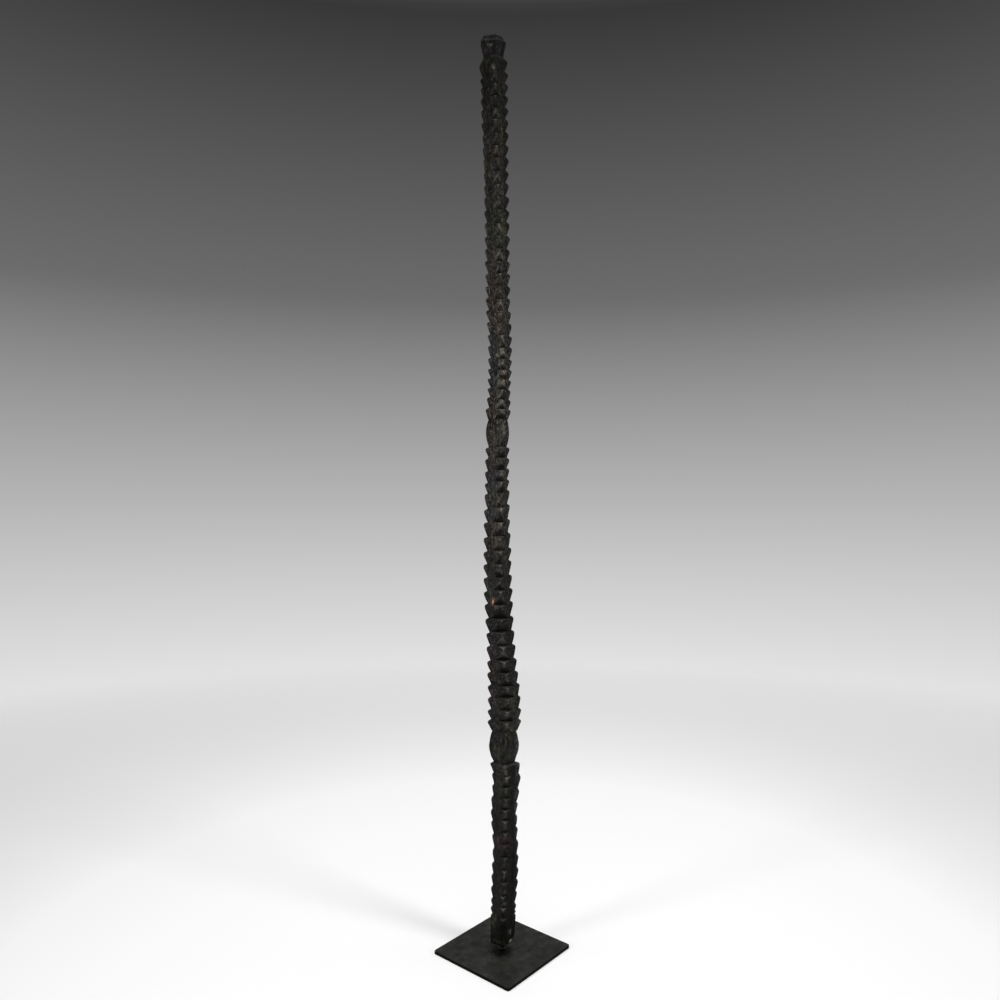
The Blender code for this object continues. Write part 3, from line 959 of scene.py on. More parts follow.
# Tint, height and spread in mm, quarter turn and spread in quarter turns
PATCHES = (
    ("slate", 2392, 8, 0.00, 9.00),
    ("soot", 2365, 16, 0.60, 0.30),
    ("soot", 2379, 5, 3.30, 0.40),
    ("soot", 2331, 5, 0.10, 0.90),
    ("ash_and_highlight", 2356, 4, 3.93, 0.07),
    ("mauve", 2344, 7, 3.80, 0.42),
    ("slate", 2350, 14, 0.40, 0.22),
    ("olive", 2317, 9, 3.78, 0.48),
    ("russet", 2297, 8, 3.68, 0.42),
    ("ash_and_highlight", 2294, 6, 3.97, 0.07),
    ("cream", 2296, 3, 3.97, 0.04),
    ("soot", 2270, 4.5, 3.75, 0.60),
    ("slate", 2266, 4, 3.60, 0.34),
    ("soot", 2300, 50, 0.50, 0.32),
    ("olive", 2160, 90, 0.22, 0.16),
    ("russet", 2074, 16, 3.95, 0.20),
    ("mauve", 2035, 20, 3.78, 0.15),
    ("olive", 2045, 30, 3.25, 0.20),
    ("olive", 1880, 60, 0.10, 0.60),
    ("mauve", 1822, 40, 3.45, 0.16),
    ("russet", 1690, 85, 3.60, 0.35),
    ("tan", 1640, 50, 3.95, 0.20),
    ("slate", 1540, 75, 3.40, 0.25),
    ("bare", 1510, 4, 0.06, 0.10),
    ("bare", 1484, 4, 0.06, 0.10),
    ("slate", 1600, 40, 0.50, 0.25),
    ("lichen", 1588, 12, 3.96, 0.18),
    ("lichen", 1562, 9, 3.96, 0.18),
    ("cream", 1535, 16, 3.95, 0.18),
    ("cream", 1500, 14, 3.95, 0.18),
    ("lichen", 1442, 10, 3.95, 0.18),
    ("lichen", 1396, 10, 3.92, 0.24),
    ("tan", 1462, 12, 0.02, 0.16),
    ("cream", 1418, 16, 3.92, 0.20),
    ("russet", 1415, 26, 3.45, 0.25),
    ("russet", 1372, 16, 3.45, 0.25),
    ("tan", 1342, 14, 3.50, 0.28),
    ("ash_and_highlight", 1358, 20, 0.12, 0.20),
    ("cream", 1360, 14, 0.08, 0.18),
    ("fresh", 1351, 2.5, 0.16, 0.04),
    ("mauve", 1330, 10, 0.25, 0.30),
    ("soot", 1321, 11, 0.18, 0.36),
    ("tan", 1285, 22, 3.55, 0.22),
    ("mauve", 1248, 18, 3.45, 0.25),
    ("slate", 1212, 24, 3.48, 0.28),
    ("slate", 1140, 30, 3.48, 0.25),
    ("olive", 1210, 26, 0.15, 0.25),
    ("mustard", 1206, 8, 0.30, 0.10),
    ("tan", 1172, 18, 3.98, 0.20),
    ("tan", 1090, 22, 3.75, 0.25),
    ("cream", 1052, 16, 3.98, 0.16),
    ("russet", 1040, 20, 0.05, 0.20),
    ("mauve", 950, 26, 3.40, 0.18),
    ("bare", 909, 9, 3.66, 0.20),
    ("moss", 934, 10, 3.08, 0.28),
    ("soot", 880, 60, 0.10, 0.35),
    ("mauve", 760, 60, 3.25, 0.22),
    ("russet", 735, 30, 3.20, 0.20),
    ("mauve", 650, 50, 3.15, 0.25),
    ("olive", 655, 30, 0.20, 0.35),
    ("olive", 590, 16, 0.00, 0.22),
    ("mauve", 558, 22, 3.55, 0.35),
    ("olive", 530, 16, 3.90, 0.30),
    ("mustard", 548, 24, 0.27, 0.08),
    ("mustard", 462, 14, 0.04, 0.06),
    ("mustard", 578, 8, 0.14, 0.09),
    ("olive", 2128, 34, 0.38, 0.22),
    ("mustard", 2132, 24, 0.34, 0.07),
    ("cream", 555, 16, 0.04, 0.08),
    ("mauve", 520, 12, 0.10, 0.20),
    ("soot", 535, 34, 0.50, 0.32),
    ("olive", 506, 10, 0.10, 0.60),
    ("soot", 497, 6, 0.00, 1.20),
    ("cream", 452, 22, 3.98, 0.14),
    ("olive", 430, 40, 3.80, 0.25),
    ("maroon", 289, 17, 0.15, 1.10),
    ("ox_blood", 289, 17, 0.58, 0.42),
    ("maroon", 245, 24, 0.90, 0.18),
    ("soot", 150, 90, 0.97, 0.16),
    ("soot", 260, 220, 0.62, 0.40),
    ("soot", 760, 240, 0.88, 0.25),
    ("soot", 2050, 330, 0.75, 0.25),
    ("soot", 810, 130, 0.16, 0.38),
    # Painted highlight: pale strips low on the right arris, where it catches the light
    ("ash_and_highlight", 400, 90, 0.95, 0.13),
    ("ash_and_highlight", 520, 75, 0.88, 0.08),
    ("ash_and_highlight", 372, 50, 0.90, 0.08),
    ("olive", 75, 22, 3.25, 0.25),
    ("ash_and_highlight", 52, 9, 0.45, 0.13),
    ("soot", 58, 20, 0.16, 0.06),
    ("soot", 34, 6, 3.12, 0.18),
    ("olive", 28, 11, 3.80, 0.50),
    ("fresh", 26, 2.2, 0.74, 0.14),
)


def patina_colour():
    """The ground colour with painted light: paler around the middle of the height and on the front arris, and
    darker at both ends. Each patch is mixed in by its bell curve times a fraying noise. It also gives how
    much of each point lies under a tint that shows inside the cuts."""
    fray = FRAY_MEAN + FRAY_REACH * value_noise(post_points, *FRAY_PATTERN)
    # Painted light: paler around the middle of the height, most on the front arris; painted shade at both
    # ends
    painted_light = bell(height, HAND_HEIGHT, PAINTED_LIGHT_REACH)
    in_front = bell(np.minimum(turn, 4 - turn), *FRONT_TURN)
    painted_shade = LOW_PAINTED_SHADE * slope(height, *LOW_STRETCH) + HIGH_PAINTED_SHADE * slope(height, *HIGH_STRETCH)
    tone = (LEAST_PAINTED_LIGHT + (MOST_PAINTED_LIGHT - LEAST_PAINTED_LIGHT) * painted_light - painted_shade) * (1 + FRONT_PAINTED_LIGHT * in_front * painted_light)
    colour = GROUND * tone[..., None]
    shown = np.zeros(height.shape)
    for tint, level, reach, quarter, spread in PATCHES:
        away = np.abs((turn - quarter + 2) % 4 - 2)
        patch = np.exp(-(((height / MM - level) / reach) ** 2) - (away / spread) ** 2)
        share = np.clip(patch * fray * PATCH_STRENGTH, 0, 1)
        colour = (1 - share[..., None]) * colour + share[..., None] * np.array(TINTS[tint])
        shown = np.maximum(shown, share * SHOWN_IN_CUTS.get(tint, 0))
    return colour, shown


colour, shown = patina_colour()
hollow = hollow * (1 - SOOT_AND_SHADE_COVERED * shown)
worn = worn * (1 - WEAR_AND_HIGHLIGHT_COVERED * shown)
print("mean patina colour:", np.round(colour.mean(axis=(0, 1)), 4))

# %% [markdown]
# ## Building shader nodes
#
# A material is a small graph. One helper adds a node with its settings and plugs other nodes or plain numbers
# into it. The others are short names for the few nodes that come again and again, so that each material below
# reads as a list of layers.

# %% Shader helpers


def new_material(name):
    """An empty Principled material: its nodes' tree and its shader."""
    material = bpy.data.materials.new(name)
    material.use_nodes = True
    return material, material.node_tree, material.node_tree.nodes["Principled BSDF"]


def node(tree, kind, inputs=(), **settings):
    """Add a node. Inputs pair a socket's name or number with a value or with another node's output."""
    made = tree.nodes.new("ShaderNode" + kind)
    for name, value in settings.items():
        setattr(made, name, value)
    for socket, value in dict(inputs).items():
        if isinstance(value, bpy.types.NodeSocket):
            tree.links.new(value, made.inputs[socket])
        else:
            made.inputs[socket].default_value = value
    return made


def noise(tree, place, scale, detail, roughness, stretch=(1, 1, 1), distortion=0.0):
    """Noise of a given scale per metre, on coordinates that are first squeezed by stretch."""
    squeezed = node(tree, "Mapping", {"Vector": place, "Scale": stretch}).outputs[0]
    values = {"Vector": squeezed, "Scale": scale, "Detail": detail, "Roughness": roughness}
    return node(tree, "TexNoise", {**values, "Distortion": distortion}).outputs["Fac"]


def between(tree, value, low, high, start=0.0, end=1.0):
    """A straight ramp: low to high in the value becomes start to end, and no further."""
    sockets = {"Value": value, "From Min": low, "From Max": high, "To Min": start, "To Max": end}
    return node(tree, "MapRange", sockets).outputs[0]


def plus(tree, first, second):
    """The sum of two values."""
    return node(tree, "Math", {0: first, 1: second}, operation="ADD").outputs[0]


def times(tree, first, second):
    """The product of two values."""
    return node(tree, "Math", {0: first, 1: second}, operation="MULTIPLY").outputs[0]


def colour_socket(sockets, name):
    """The colour socket of that name: a Mix node has one of each kind under the same name."""
    return next(socket for socket in sockets if socket.name == name and socket.type == "RGBA")


def mix(tree, share, first, second, blend="MIX"):
    """Mix two colours by a share."""
    made = node(tree, "Mix", {"Factor": share}, data_type="RGBA", blend_type=blend)
    for name, value in (("A", first), ("B", second)):
        target = colour_socket(made.inputs, name)
        if isinstance(value, bpy.types.NodeSocket):
            tree.links.new(value, target)
        else:
            target.default_value = (*value, 1.0)
    return colour_socket(made.outputs, "Result")


def add_relief(tree, shader, height, depth, strength):
    """Tilt the shading as if the pattern of heights were pressed into the surface."""
    bump = node(tree, "Bump", {"Height": height, "Distance": depth, "Strength": strength})
    tree.links.new(bump.outputs[0], shader.inputs["Normal"])


print("shader helpers ready")

# %% [markdown]
# ## Patinated hardwood
#
# Old house posts are blackened by hearth smoke and handling. The wood keeps its fibre, which runs up the
# stick: long thin streaks, fine splits, open pores, and here and there the ripple of a blade. Oil shines a
# little on the worn edges, soot and painted shade make the cuts black and matt, dust and painted light grey
# the ledges, and the pale of the rubbed edges is part wear and part painted highlight. The layers below are
# that list: the stored patina with its painted light along the height, shades of fibre and blotches, ripples,
# then flecks and pits, splits, pores, soot and painted shade, dust and painted light, wear and painted
# highlights, and last the gloss and the relief.

# %% The wood's material
# Grey of dust, also laid as painted light on the ledges; black of soot, also laid as painted shade in the
# cuts
DUST_AND_LIGHT = (0.050, 0.049, 0.046)
SOOT_AND_SHADE_TINT = (0.0026, 0.0023, 0.0020)
FLECK = (0.115, 0.107, 0.090)
# Pale of rubbed wood, bright enough to stand in for glints: part wear, part painted highlight
RUBBED_WOOD_AND_HIGHLIGHT = (0.350, 0.330, 0.290)
WOOD_SPECULAR = 0.08
WOOD_RELIEF = 1.4 * MM

# Scale per metre, detail, roughness, and how the pattern is squeezed along X, Y and Z
WOOD_NOISES = {
    "fibre": (620, 4.0, 0.6, (1, 1, 0.05)),
    "split": (230, 3.0, 0.6, (1, 1, 0.10)),
    "blotch": (40, 3.0, 0.55, (1, 1, 0.6)),
    "mottle": (160, 4.0, 0.6, (1, 1, 0.6)),
    "fleck": (230, 3.0, 0.62, (1, 1, 0.7)),
    "speck": (260, 4.0, 0.65),
    "pore": (1500, 2.0, 0.5, (1, 1, 0.07)),
    "ripple": (120, 2.0, 0.5, (0.3, 0.3, 1.7)),
}

# Noise, the part of its range that counts, and what it multiplies the colour by at either end
SHADES = (
    ("fibre", 0.32, 0.68, 0.60, 1.45),
    ("blotch", 0.32, 0.68, 0.50, 1.65),
    ("mottle", 0.38, 0.64, 0.30, 2.25),
)
BANDS = ("ripple", 0.38, 0.62, 0.45, 1.90)


def patinated_hardwood():
    """Black-brown wood with fibre, splits and pale flecks, dusty ledges with painted light, sooty hollows
    with painted shade, and rubbed edges with painted highlights.
    """
    material, tree, shader = new_material("patinated_hardwood")
    place = node(tree, "TexCoord").outputs["Object"]
    patina = node(tree, "Attribute", attribute_name="patina").outputs["Color"]
    stored = {}
    for name in ("worn", "hollow", "ledge", "chatter", "flecked"):
        stored[name] = node(tree, "Attribute", attribute_name=name).outputs["Fac"]
    noises = {name: noise(tree, place, *values) for name, values in WOOD_NOISES.items()}

    def part(name, low, high, start=0.0, end=1.0):
        """One noise's range from low to high, as start to end."""
        return between(tree, noises[name], low, high, start, end)

    colour = patina
    for shade in SHADES:
        colour = mix(tree, 1.0, colour, part(*shade), "MULTIPLY")
    banded = mix(tree, 1.0, colour, part(*BANDS), "MULTIPLY")
    colour = mix(tree, stored["chatter"], colour, banded)
    splits = part("split", 0.56, 0.66)
    pores = part("pore", 0.60, 0.72)

    # Amount, the share that breaks it up, and the colour that it lays on
    layers = (
        (stored["flecked"], part("fleck", 0.55, 0.68, 0.0, 0.85), FLECK),
        (stored["flecked"], part("fleck", 0.40, 0.47, 0.8, 0.0), SOOT_AND_SHADE_TINT),
        (splits, 0.75, SOOT_AND_SHADE_TINT),
        (pores, 0.6, SOOT_AND_SHADE_TINT),
        # Soot and painted shade in the cuts, then dust and painted light on the ledges
        (stored["hollow"], part("mottle", 0.3, 0.7, 1.0, 0.75), SOOT_AND_SHADE_TINT),
        (stored["ledge"], part("speck", 0.38, 0.62, 0.10, 0.85), DUST_AND_LIGHT),
        # Wear and painted highlights: pale dots on the crests and strokes along the edges
        (stored["worn"], part("speck", 0.34, 0.60, 0.15, 1.0), RUBBED_WOOD_AND_HIGHLIGHT),
    )
    for amount, share, tint in layers:
        colour = mix(tree, times(tree, amount, share), colour, tint)
    tree.links.new(colour, shader.inputs["Base Color"])

    matt = plus(tree, part("speck", 0.3, 0.7, 0.38, 0.60), times(tree, stored["hollow"], 0.3))
    tree.links.new(plus(tree, matt, times(tree, stored["worn"], -0.12)), shader.inputs["Roughness"])
    shader.inputs["Specular IOR Level"].default_value = WOOD_SPECULAR

    rippled = times(tree, noises["ripple"], plus(tree, stored["chatter"], 0.3))
    raised = ((noises["speck"], 0.40), (noises["mottle"], 0.8), (rippled, 1.0))
    sunk = ((splits, -0.4), (pores, -0.25))
    grain = times(tree, noises["fibre"], 0.35)
    for value, weight in raised + sunk:
        grain = plus(tree, grain, times(tree, value, weight))
    add_relief(tree, shader, grain, WOOD_RELIEF, 0.9)
    return material


hardwood = patinated_hardwood()
print("nodes in the wood:", len(hardwood.node_tree.nodes))

# %% [markdown]
# ## The post
#
# Now the grid becomes a piece, and every amount that was worked out above is kept on its points, under the
# name by which the material asks for it. The wall of the hole was not worked out, so it takes a flat amount
# of soot and painted shade.

# %% Build the post
# Soot and painted shade on the wall of the hole
INSIDE_SOOT_AND_SHADE = 0.6
low_pole = np.array((0.0, 0.0, HOLE_TOP))
high_pole = np.append(post_points[-1, :, :2].mean(axis=0), DOME_TOP)
post = grid_piece("patinated_post", skin, low_pole, high_pole, hardwood)


def on_skin(values, fill):
    """Values for every point of the post's mesh: the hole's rows and the two poles take the fill."""
    below = np.broadcast_to(fill, (len(hidden_rows),) + values.shape[1:])
    whole = np.concatenate((below, values)).reshape(-1, *values.shape[2:])
    return np.concatenate((whole, np.broadcast_to(fill, (2,) + whole.shape[1:])))


amounts = {"worn": worn, "hollow": hollow, "ledge": ledge, "chatter": chatter, "flecked": flecked}
for name, values in amounts.items():
    store(post, name, on_skin(values, INSIDE_SOOT_AND_SHADE if name == "hollow" else 0.0))
opaque = np.ones(colour.shape[:-1] + (1,))
store(post, "patina", on_skin(np.concatenate((colour, opaque), axis=-1), (*GROUND, 1.0)), "FLOAT_COLOR")
print("kept on the post's points:", sorted(amounts), "and patina")

# %% [markdown]
# ## Rod and weld
#
# The rod is plain round bar. Where it meets the plate a welder has run a bead round it, and each pulse of the
# torch has left a ripple. The surface is a profile turned about the Z axis: the radius is a function of the
# height, and it also swells and shrinks with the angle, most in the bead and faintly on the bar.

# %% Rod surface
ROD_COLUMNS = 96
FILLET_ROWS = 10
ROD_ROWS = 14
ROD_CHAMFER = 0.6 * MM
WELD_RADIUS = rod_high[0]
WELD_HEIGHT = 4.3 * MM
RIPPLES = 22
RIPPLE_DEPTH = 0.7 * MM
RIPPLE_DRIFT = 2.2
RIPPLE_SLANT = 6
RIPPLE_ON_BAR = 0.1


def rod_surface():
    """Radius = rod + (weld - rod) (1 - sin(angle up the fillet)), less a ripple of cos(22 turn + lag). The
    ripple's depth goes as the sine of its share of the bead."""
    angle = np.linspace(0, 0.5 * np.pi, FILLET_ROWS)
    z_weld = PLATE_TOP + WELD_HEIGHT * (1 - np.cos(angle))
    r_weld = WELD_RADIUS - (WELD_RADIUS - ROD_RADIUS) * np.sin(angle)
    z_rod = np.linspace(z_weld[-1], rod_high[2] - ROD_CHAMFER, ROD_ROWS)[1:]
    z = np.concatenate((z_weld, z_rod, [rod_high[2]]))[:, None]
    radius = np.concatenate((r_weld, np.full(len(z_rod), ROD_RADIUS), [ROD_RADIUS - ROD_CHAMFER]))[:, None]
    around = 2 * np.pi * np.arange(ROD_COLUMNS) / ROD_COLUMNS
    bead = np.clip((radius - ROD_RADIUS) / (WELD_RADIUS - ROD_RADIUS), 0, 1)
    ripple = 0.5 - 0.5 * np.cos(RIPPLES * around + RIPPLE_DRIFT * np.sin(around) - RIPPLE_SLANT * bead)
    radius = radius - RIPPLE_DEPTH * ripple * np.sin(np.pi * (bead * (1 - RIPPLE_ON_BAR) + RIPPLE_ON_BAR))
    return np.stack(np.broadcast_arrays(radius * np.cos(around), radius * np.sin(around), z), axis=-1)


rod_grid = rod_surface()
print("rod and weld, mm:", np.round((rod_grid.max(axis=(0, 1)) - rod_grid.min(axis=(0, 1))) / MM, 1))

# %% [markdown]
# ## Plate
#
# The plate was cut from sheet, its corners rounded and its edges broken with a file. Its outline is a
# rounded square, carried up over the edge's two small rounds and in to the middle of both faces.

# %% Plate surface
PLATE_HALF = plate_high[0]
PLATE_CORNER = 6 * MM
SMALLEST_CORNER = 0.5 * MM
PLATE_EDGE = 0.8 * MM
CORNER_STEPS = 8
SIDE_STEPS = 30
EDGE_STEPS = 5

# How far in the squares on both faces lie, from the edge to the middle
ACROSS = PLATE_HALF * np.array((0.03, 0.08, 0.16, 0.3, 0.5, 0.7, 0.9))


def rounded_square(inset):
    """Points round a square with round corners, all moved in by the inset: each corner is a quarter circle
    and each side a straight run."""
    turns = np.arange(4)[:, None] * 0.5 * np.pi
    angle = turns + np.linspace(0, 0.5 * np.pi, CORNER_STEPS)[None]
    signs = np.stack((np.cos(turns + 0.25 * np.pi), np.sin(turns + 0.25 * np.pi)), axis=-1) * np.sqrt(2)
    radius = np.maximum(PLATE_CORNER - inset, SMALLEST_CORNER)
    centre = (PLATE_HALF - inset - radius) * signs
    arc = centre + radius * np.stack((np.cos(angle), np.sin(angle)), axis=-1)
    share = np.linspace(0, 1, SIDE_STEPS + 2)[1:-1, None]
    start, end = arc[:, -1:], np.roll(arc, -1, axis=0)[:, :1]
    side = (1 - share) * start + share * end
    return np.concatenate((arc, side), axis=1).reshape(-1, 2)


def plate_surface():
    """Rounded squares that grow across the underside, climb the edge with a quarter circle at either end of
    it, and shrink again across the top."""
    angle = np.linspace(0, 0.5 * np.pi, EDGE_STEPS)
    ease_in = PLATE_EDGE * (1 - np.cos(angle))
    ease_up = PLATE_EDGE * np.sin(angle)
    inset = np.concatenate((ACROSS[::-1], ease_in[::-1], ease_in, ACROSS))
    z_edge = np.concatenate((PLATE_EDGE - ease_up[::-1], PLATE_TOP - PLATE_EDGE + ease_up))
    z = np.concatenate((np.zeros(len(ACROSS)), z_edge, np.full(len(ACROSS), PLATE_TOP)))
    outline = np.stack([rounded_square(value) for value in inset])
    return np.concatenate((outline, np.broadcast_to(z[:, None, None], outline.shape[:2] + (1,))), axis=-1)


plate_grid = plate_surface()
print("plate, mm:", np.round((plate_grid.max(axis=(0, 1)) - plate_grid.min(axis=(0, 1))) / MM, 1))

# %% [markdown]
# ## Blackened steel
#
# Mill scale and a black finish give the steel a satin, cloudy surface. It still shows what stands on it, as
# a soft reflection. Fine scratches cross it both ways and dust settles on it. A dark patch round the rod,
# lying more to the front of it, is a painted shadow of the post's foot. The sawn edges are flat black.

# %% The steel's material
STEEL_DARK = (0.0185, 0.0190, 0.0165)
STEEL_PALE = (0.0335, 0.0345, 0.0300)
STEEL_DUST = (0.12, 0.115, 0.105)
STEEL_SCRATCH = (0.10, 0.10, 0.10)
STEEL_METALLIC = 0.3
STEEL_RELIEF = 0.3 * MM
# Painted shadow of the post's foot on the plate: its colour, its middle in front of the rod, its rim, and how
# unevenly the rim runs
UNDER_FOOT_SHADOW = (0.0035, 0.0035, 0.0033)
SHADOW_MIDDLE = tuple(17 * MM * axis for axis in (0.65, -0.76, 0.0))
SHADOW_RIM = (22 * MM, 37 * MM)
SHADOW_UNEVEN = 4 * MM
EDGE_BLACK = (0.0024, 0.0024, 0.0023)
EDGE_SPECULAR = 0.06

# Scale per metre, detail and roughness, then the squeeze that draws scratches out, and their waviness
STEEL_CLOUD = (45, 5.0, 0.6)
STEEL_SPECK = (900, 3.0, 0.6)
EDGE_GRAIN = (500, 3.0, 0.6)
SCRATCHES = ((260, 2.0, 0.5, (1, 0.02, 1), 0.3), (240, 2.0, 0.5, (0.02, 1, 1), 0.3))


def blackened_steel():
    """Near-black satin steel with clouds, fine scratches, specks of dust and a painted shadow under the foot.
    """
    material, tree, shader = new_material("blackened_steel")
    place = node(tree, "TexCoord").outputs["Object"]
    cloud = noise(tree, place, *STEEL_CLOUD)
    speck = noise(tree, place, *STEEL_SPECK)
    crossing = [noise(tree, place, *values) for values in SCRATCHES]
    lines = dict(enumerate(between(tree, scratch, 0.66, 0.74) for scratch in crossing))
    scratches = node(tree, "Math", lines, operation="MAXIMUM").outputs[0]
    from_shadow_middle = node(tree, "VectorMath", {0: place, 1: SHADOW_MIDDLE}, operation="DISTANCE").outputs["Value"]
    wavering = between(tree, cloud, 0.3, 0.7, -SHADOW_UNEVEN, SHADOW_UNEVEN)
    layers = (
        (between(tree, speck, 0.62, 0.72, 0.0, 0.35), STEEL_DUST),
        (times(tree, scratches, 0.25), STEEL_SCRATCH),
        # Painted shadow under the post's foot
        (between(tree, plus(tree, from_shadow_middle, wavering), *SHADOW_RIM, 0.95, 0.0), UNDER_FOOT_SHADOW),
    )
    colour = mix(tree, between(tree, cloud, 0.35, 0.65), STEEL_DARK, STEEL_PALE)
    for share, tint in layers:
        colour = mix(tree, share, colour, tint)
    tree.links.new(colour, shader.inputs["Base Color"])
    shader.inputs["Metallic"].default_value = STEEL_METALLIC
    tree.links.new(between(tree, cloud, 0.3, 0.7, 0.17, 0.30), shader.inputs["Roughness"])
    height = plus(tree, times(tree, speck, 0.1), times(tree, scratches, -0.1))
    add_relief(tree, shader, height, STEEL_RELIEF, 0.5)
    return material


def flat_black_edge():
    """Flat black for the sawn edges, with a fine grain."""
    material, tree, shader = new_material("flat_black_edge")
    place = node(tree, "TexCoord").outputs["Object"]
    grain = noise(tree, place, *EDGE_GRAIN)
    black = mix(tree, between(tree, grain, 0.45, 0.75, 0.0, 0.1), EDGE_BLACK, STEEL_PALE)
    tree.links.new(black, shader.inputs["Base Color"])
    tree.links.new(between(tree, grain, 0.3, 0.7, 0.65, 0.85), shader.inputs["Roughness"])
    shader.inputs["Specular IOR Level"].default_value = EDGE_SPECULAR
    return material


steel = blackened_steel()
print("nodes in the steel:", len(steel.node_tree.nodes))

# %% [markdown]
# ## The rod and the plate
#
# Both grids become pieces of the same steel. On the plate, the faces that stand upright, and those of the
# small rounds next to them, take the flat black instead.

# %% Build the rod and the plate
UPRIGHT_LIMIT = 0.9
rod = grid_piece("welded_rod", rod_grid, np.array((0, 0, PLATE_TOP)), np.array((0, 0, rod_high[2])), steel)
plate = grid_piece("steel_plate", plate_grid, np.zeros(3), np.array((0, 0, PLATE_TOP)), steel)
plate.data.materials.append(flat_black_edge())
facing = np.empty(len(plate.data.polygons) * 3, dtype=np.float32)
plate.data.polygons.foreach_get("normal", facing)
on_edge = np.abs(facing.reshape(-1, 3)[:, 2]) < UPRIGHT_LIMIT
plate.data.polygons.foreach_set("material_index", on_edge.astype(np.int32))
print("faces in black scale:", int(on_edge.sum()))

# %% [markdown]
# ## Hand the pieces over
#
# Nothing here moves, so all three pieces ride on the one body. Each stands for the imported node that it
# covers, which is hidden.

# %% Ride and replace
for piece, covered, slot in (
    (post, "carved_post", "dark_wood"),
    (rod, "mounting_rod", "rod_steel"),
    (plate, "base_plate", "plate_steel"),
):
    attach(piece, "root")
    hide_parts(covered)
    print(piece.name, "stands for", covered)

# %% [markdown]
# ## Floor and surround
#
# A near-black object is lit by what it reflects. A pale floor fills the undersides of the teeth and fades out
# with the distance, and a grey surround gets darker upwards.

# %% Floor and surround
VIEW_AZIMUTH = np.radians(40.46)
FLOOR_RADIUS = 9.0
FLOOR_SIDES = 96
FLOOR_FADE = (1.3, 4.5)
FLOOR_COLOUR = (0.8, 0.8, 0.8, 1.0)
FLOOR_ROUGHNESS = 0.9

# Place from straight below (0) to straight above (1), and brightness
SKY = ((0.0, 1.0), (0.30, 0.95), (0.40, 0.76), (0.5, 0.46), (0.62, 0.15), (0.76, 0.037), (1.0, 0.02))


def studio_floor():
    """A round pale floor, at the height of the plate's underside."""
    angle = np.linspace(0, 2 * np.pi, FLOOR_SIDES + 1)[:-1]
    rim = FLOOR_RADIUS * np.stack((np.cos(angle), np.sin(angle), np.zeros(FLOOR_SIDES)), axis=-1)
    mesh = bpy.data.meshes.new("floor")
    mesh.from_pydata(rim.tolist(), [], [list(range(FLOOR_SIDES))])
    material, tree, shader = new_material("pale_floor")
    place = node(tree, "TexCoord").outputs["Object"]
    away = node(tree, "VectorMath", {0: place}, operation="LENGTH").outputs["Value"]
    shader.inputs["Base Color"].default_value = FLOOR_COLOUR
    shader.inputs["Roughness"].default_value = FLOOR_ROUGHNESS
    tree.links.new(between(tree, away, *FLOOR_FADE, 1.0, 0.0), shader.inputs["Alpha"])
    mesh.materials.append(material)
    floor = bpy.data.objects.new("floor", mesh)
    bpy.context.scene.collection.objects.link(floor)
    return floor


def surround():
    """A grey surround: white below the horizon, mid grey at it and dark grey above."""
    world = bpy.data.worlds.new("surround")
    world.use_nodes = True
    tree = world.node_tree
    direction = node(tree, "TexCoord").outputs["Generated"]
    up = node(tree, "SeparateXYZ", {0: direction}).outputs["Z"]
    ramp = node(tree, "ValToRGB", {"Fac": between(tree, up, -1.0, 1.0)})
    stops = ramp.color_ramp.elements
    for position, value in SKY:
        stop = stops.new(position) if 0 < position < 1 else stops[int(position)]
        stop.color = (value, value, value, 1.0)
    tree.links.new(ramp.outputs[0], tree.nodes["Background"].inputs["Color"])
    bpy.context.scene.world = world


floor = studio_floor()
surround()
print("floor radius, m:", FLOOR_RADIUS)

# %% [markdown]
# ## Lights
#
# A wide soft light overhead draws the ledges. A smaller one, high on the right of the camera, gives each
# tooth its pale edge and throws one soft shadow to the left. Two low fills stand left and right of the camera
# and are aimed at the part that hands have rubbed.

# %% Lights
MIDDLE = np.array((0.0, 0.0, 1.2))
HANDLED_PART = np.array((0.0, 0.0, 1.55))
KEY_DISTANCE = 8.0


def seen_from_camera(across, beyond, up):
    """A step to the right as the camera sees it, a step away from the camera and a step up, in metres."""
    right = np.array((np.cos(VIEW_AZIMUTH), np.sin(VIEW_AZIMUTH), 0.0))
    forward = np.array((-np.sin(VIEW_AZIMUTH), np.cos(VIEW_AZIMUTH), 0.0))
    return across * right + beyond * forward + np.array((0.0, 0.0, up))


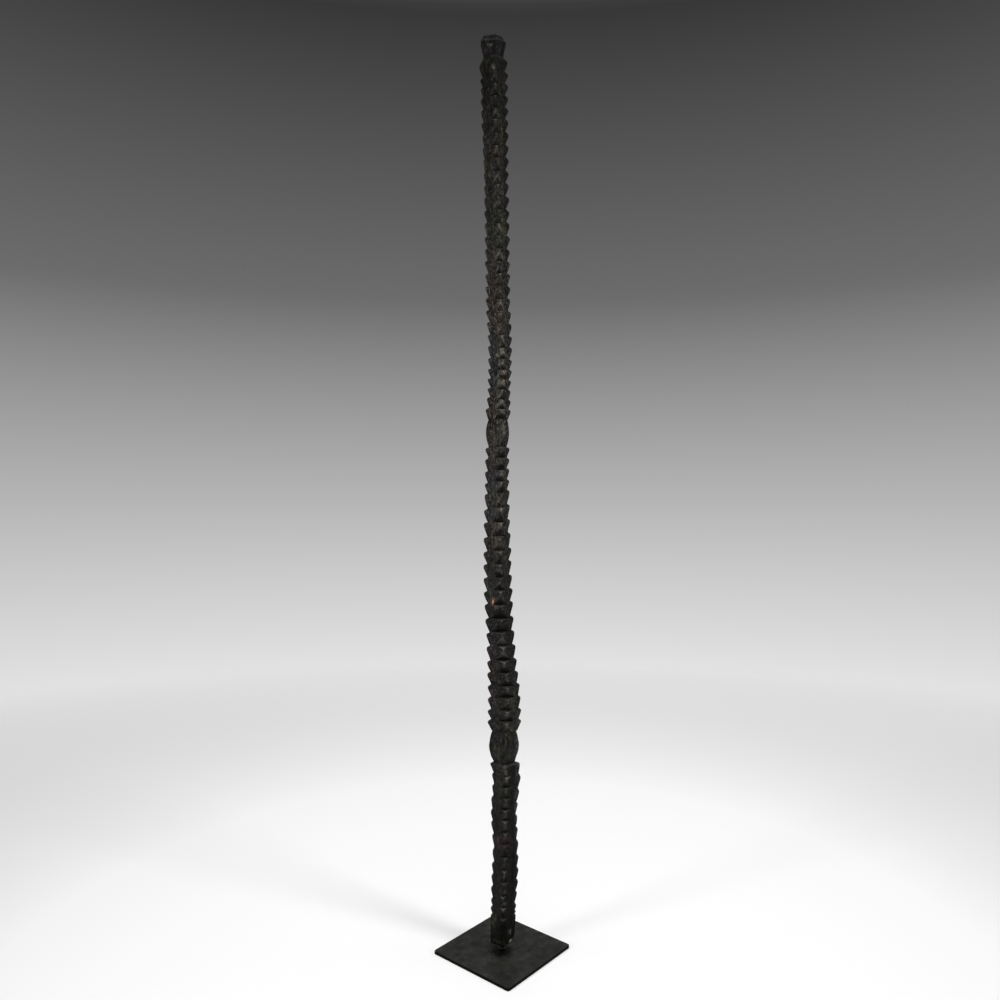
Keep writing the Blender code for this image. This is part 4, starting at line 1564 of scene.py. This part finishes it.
def softbox(name, middle, target, size, power, spread):
    """A flat, oblong light at a place, turned to face its target. Its size is in metres, and a grid in
    front of it keeps its light within the spread in degrees."""
    data = bpy.data.lights.new(name, "AREA")
    data.shape = "RECTANGLE"
    data.size, data.size_y = size
    data.energy = power
    data.spread = np.radians(spread)
    lamp = bpy.data.objects.new(name, data)
    lamp.location = middle
    aim = np.array(target) - np.array(middle)
    pitch = np.arccos(-aim[2] / np.linalg.norm(aim))
    heading = np.arctan2(aim[1], aim[0]) - 0.5 * np.pi
    lamp.rotation_euler = (pitch, 0.0, heading)
    lamp.visible_camera = False
    bpy.context.scene.collection.objects.link(lamp)


key_direction = seen_from_camera(1.19, -0.775, 2.4)
key_direction = key_direction / np.linalg.norm(key_direction)

# Name, place, what it faces, size in metres, power in watts and spread in degrees
LIGHTS = (
    ("overhead", (0.0, 0.0, 14.0), (0.0, 0.01, 0.0), (7.0, 7.0), 980, 180),
    ("key", MIDDLE + KEY_DISTANCE * key_direction, MIDDLE, (1.4, 1.4), 165, 180),
    ("left_fill", MIDDLE + seen_from_camera(-2.0, -1.3, 0.3), HANDLED_PART, (0.5, 1.4), 11.5, 100),
    ("right_fill", MIDDLE + seen_from_camera(2.1, -1.3, 0.7), HANDLED_PART, (0.5, 1.2), 8.5, 100),
)
for light in LIGHTS:
    softbox(*light)

# %% [markdown]
# ## Camera
#
# The camera stands level, a little over two metres from the post and at half its height, with a wide lens
# that takes the post in from end to end.

# %% Camera
LENS = 29.0
CAMERA_SHIFT = -0.006
CAMERA_DISTANCE = 2.117
CAMERA_HEIGHT = 1.176
camera_data = bpy.data.cameras.new("camera")
camera_data.lens = LENS
camera = bpy.data.objects.new("camera", camera_data)
camera.location = seen_from_camera(CAMERA_SHIFT, -CAMERA_DISTANCE, PLATE_TOP + CAMERA_HEIGHT)
camera.rotation_euler = (0.5 * np.pi, 0.0, VIEW_AZIMUTH)
bpy.context.scene.collection.objects.link(camera)
bpy.context.scene.camera = camera
bpy.context.scene.view_settings.view_transform = "Standard"
print("camera at", np.round(camera.location, 3))
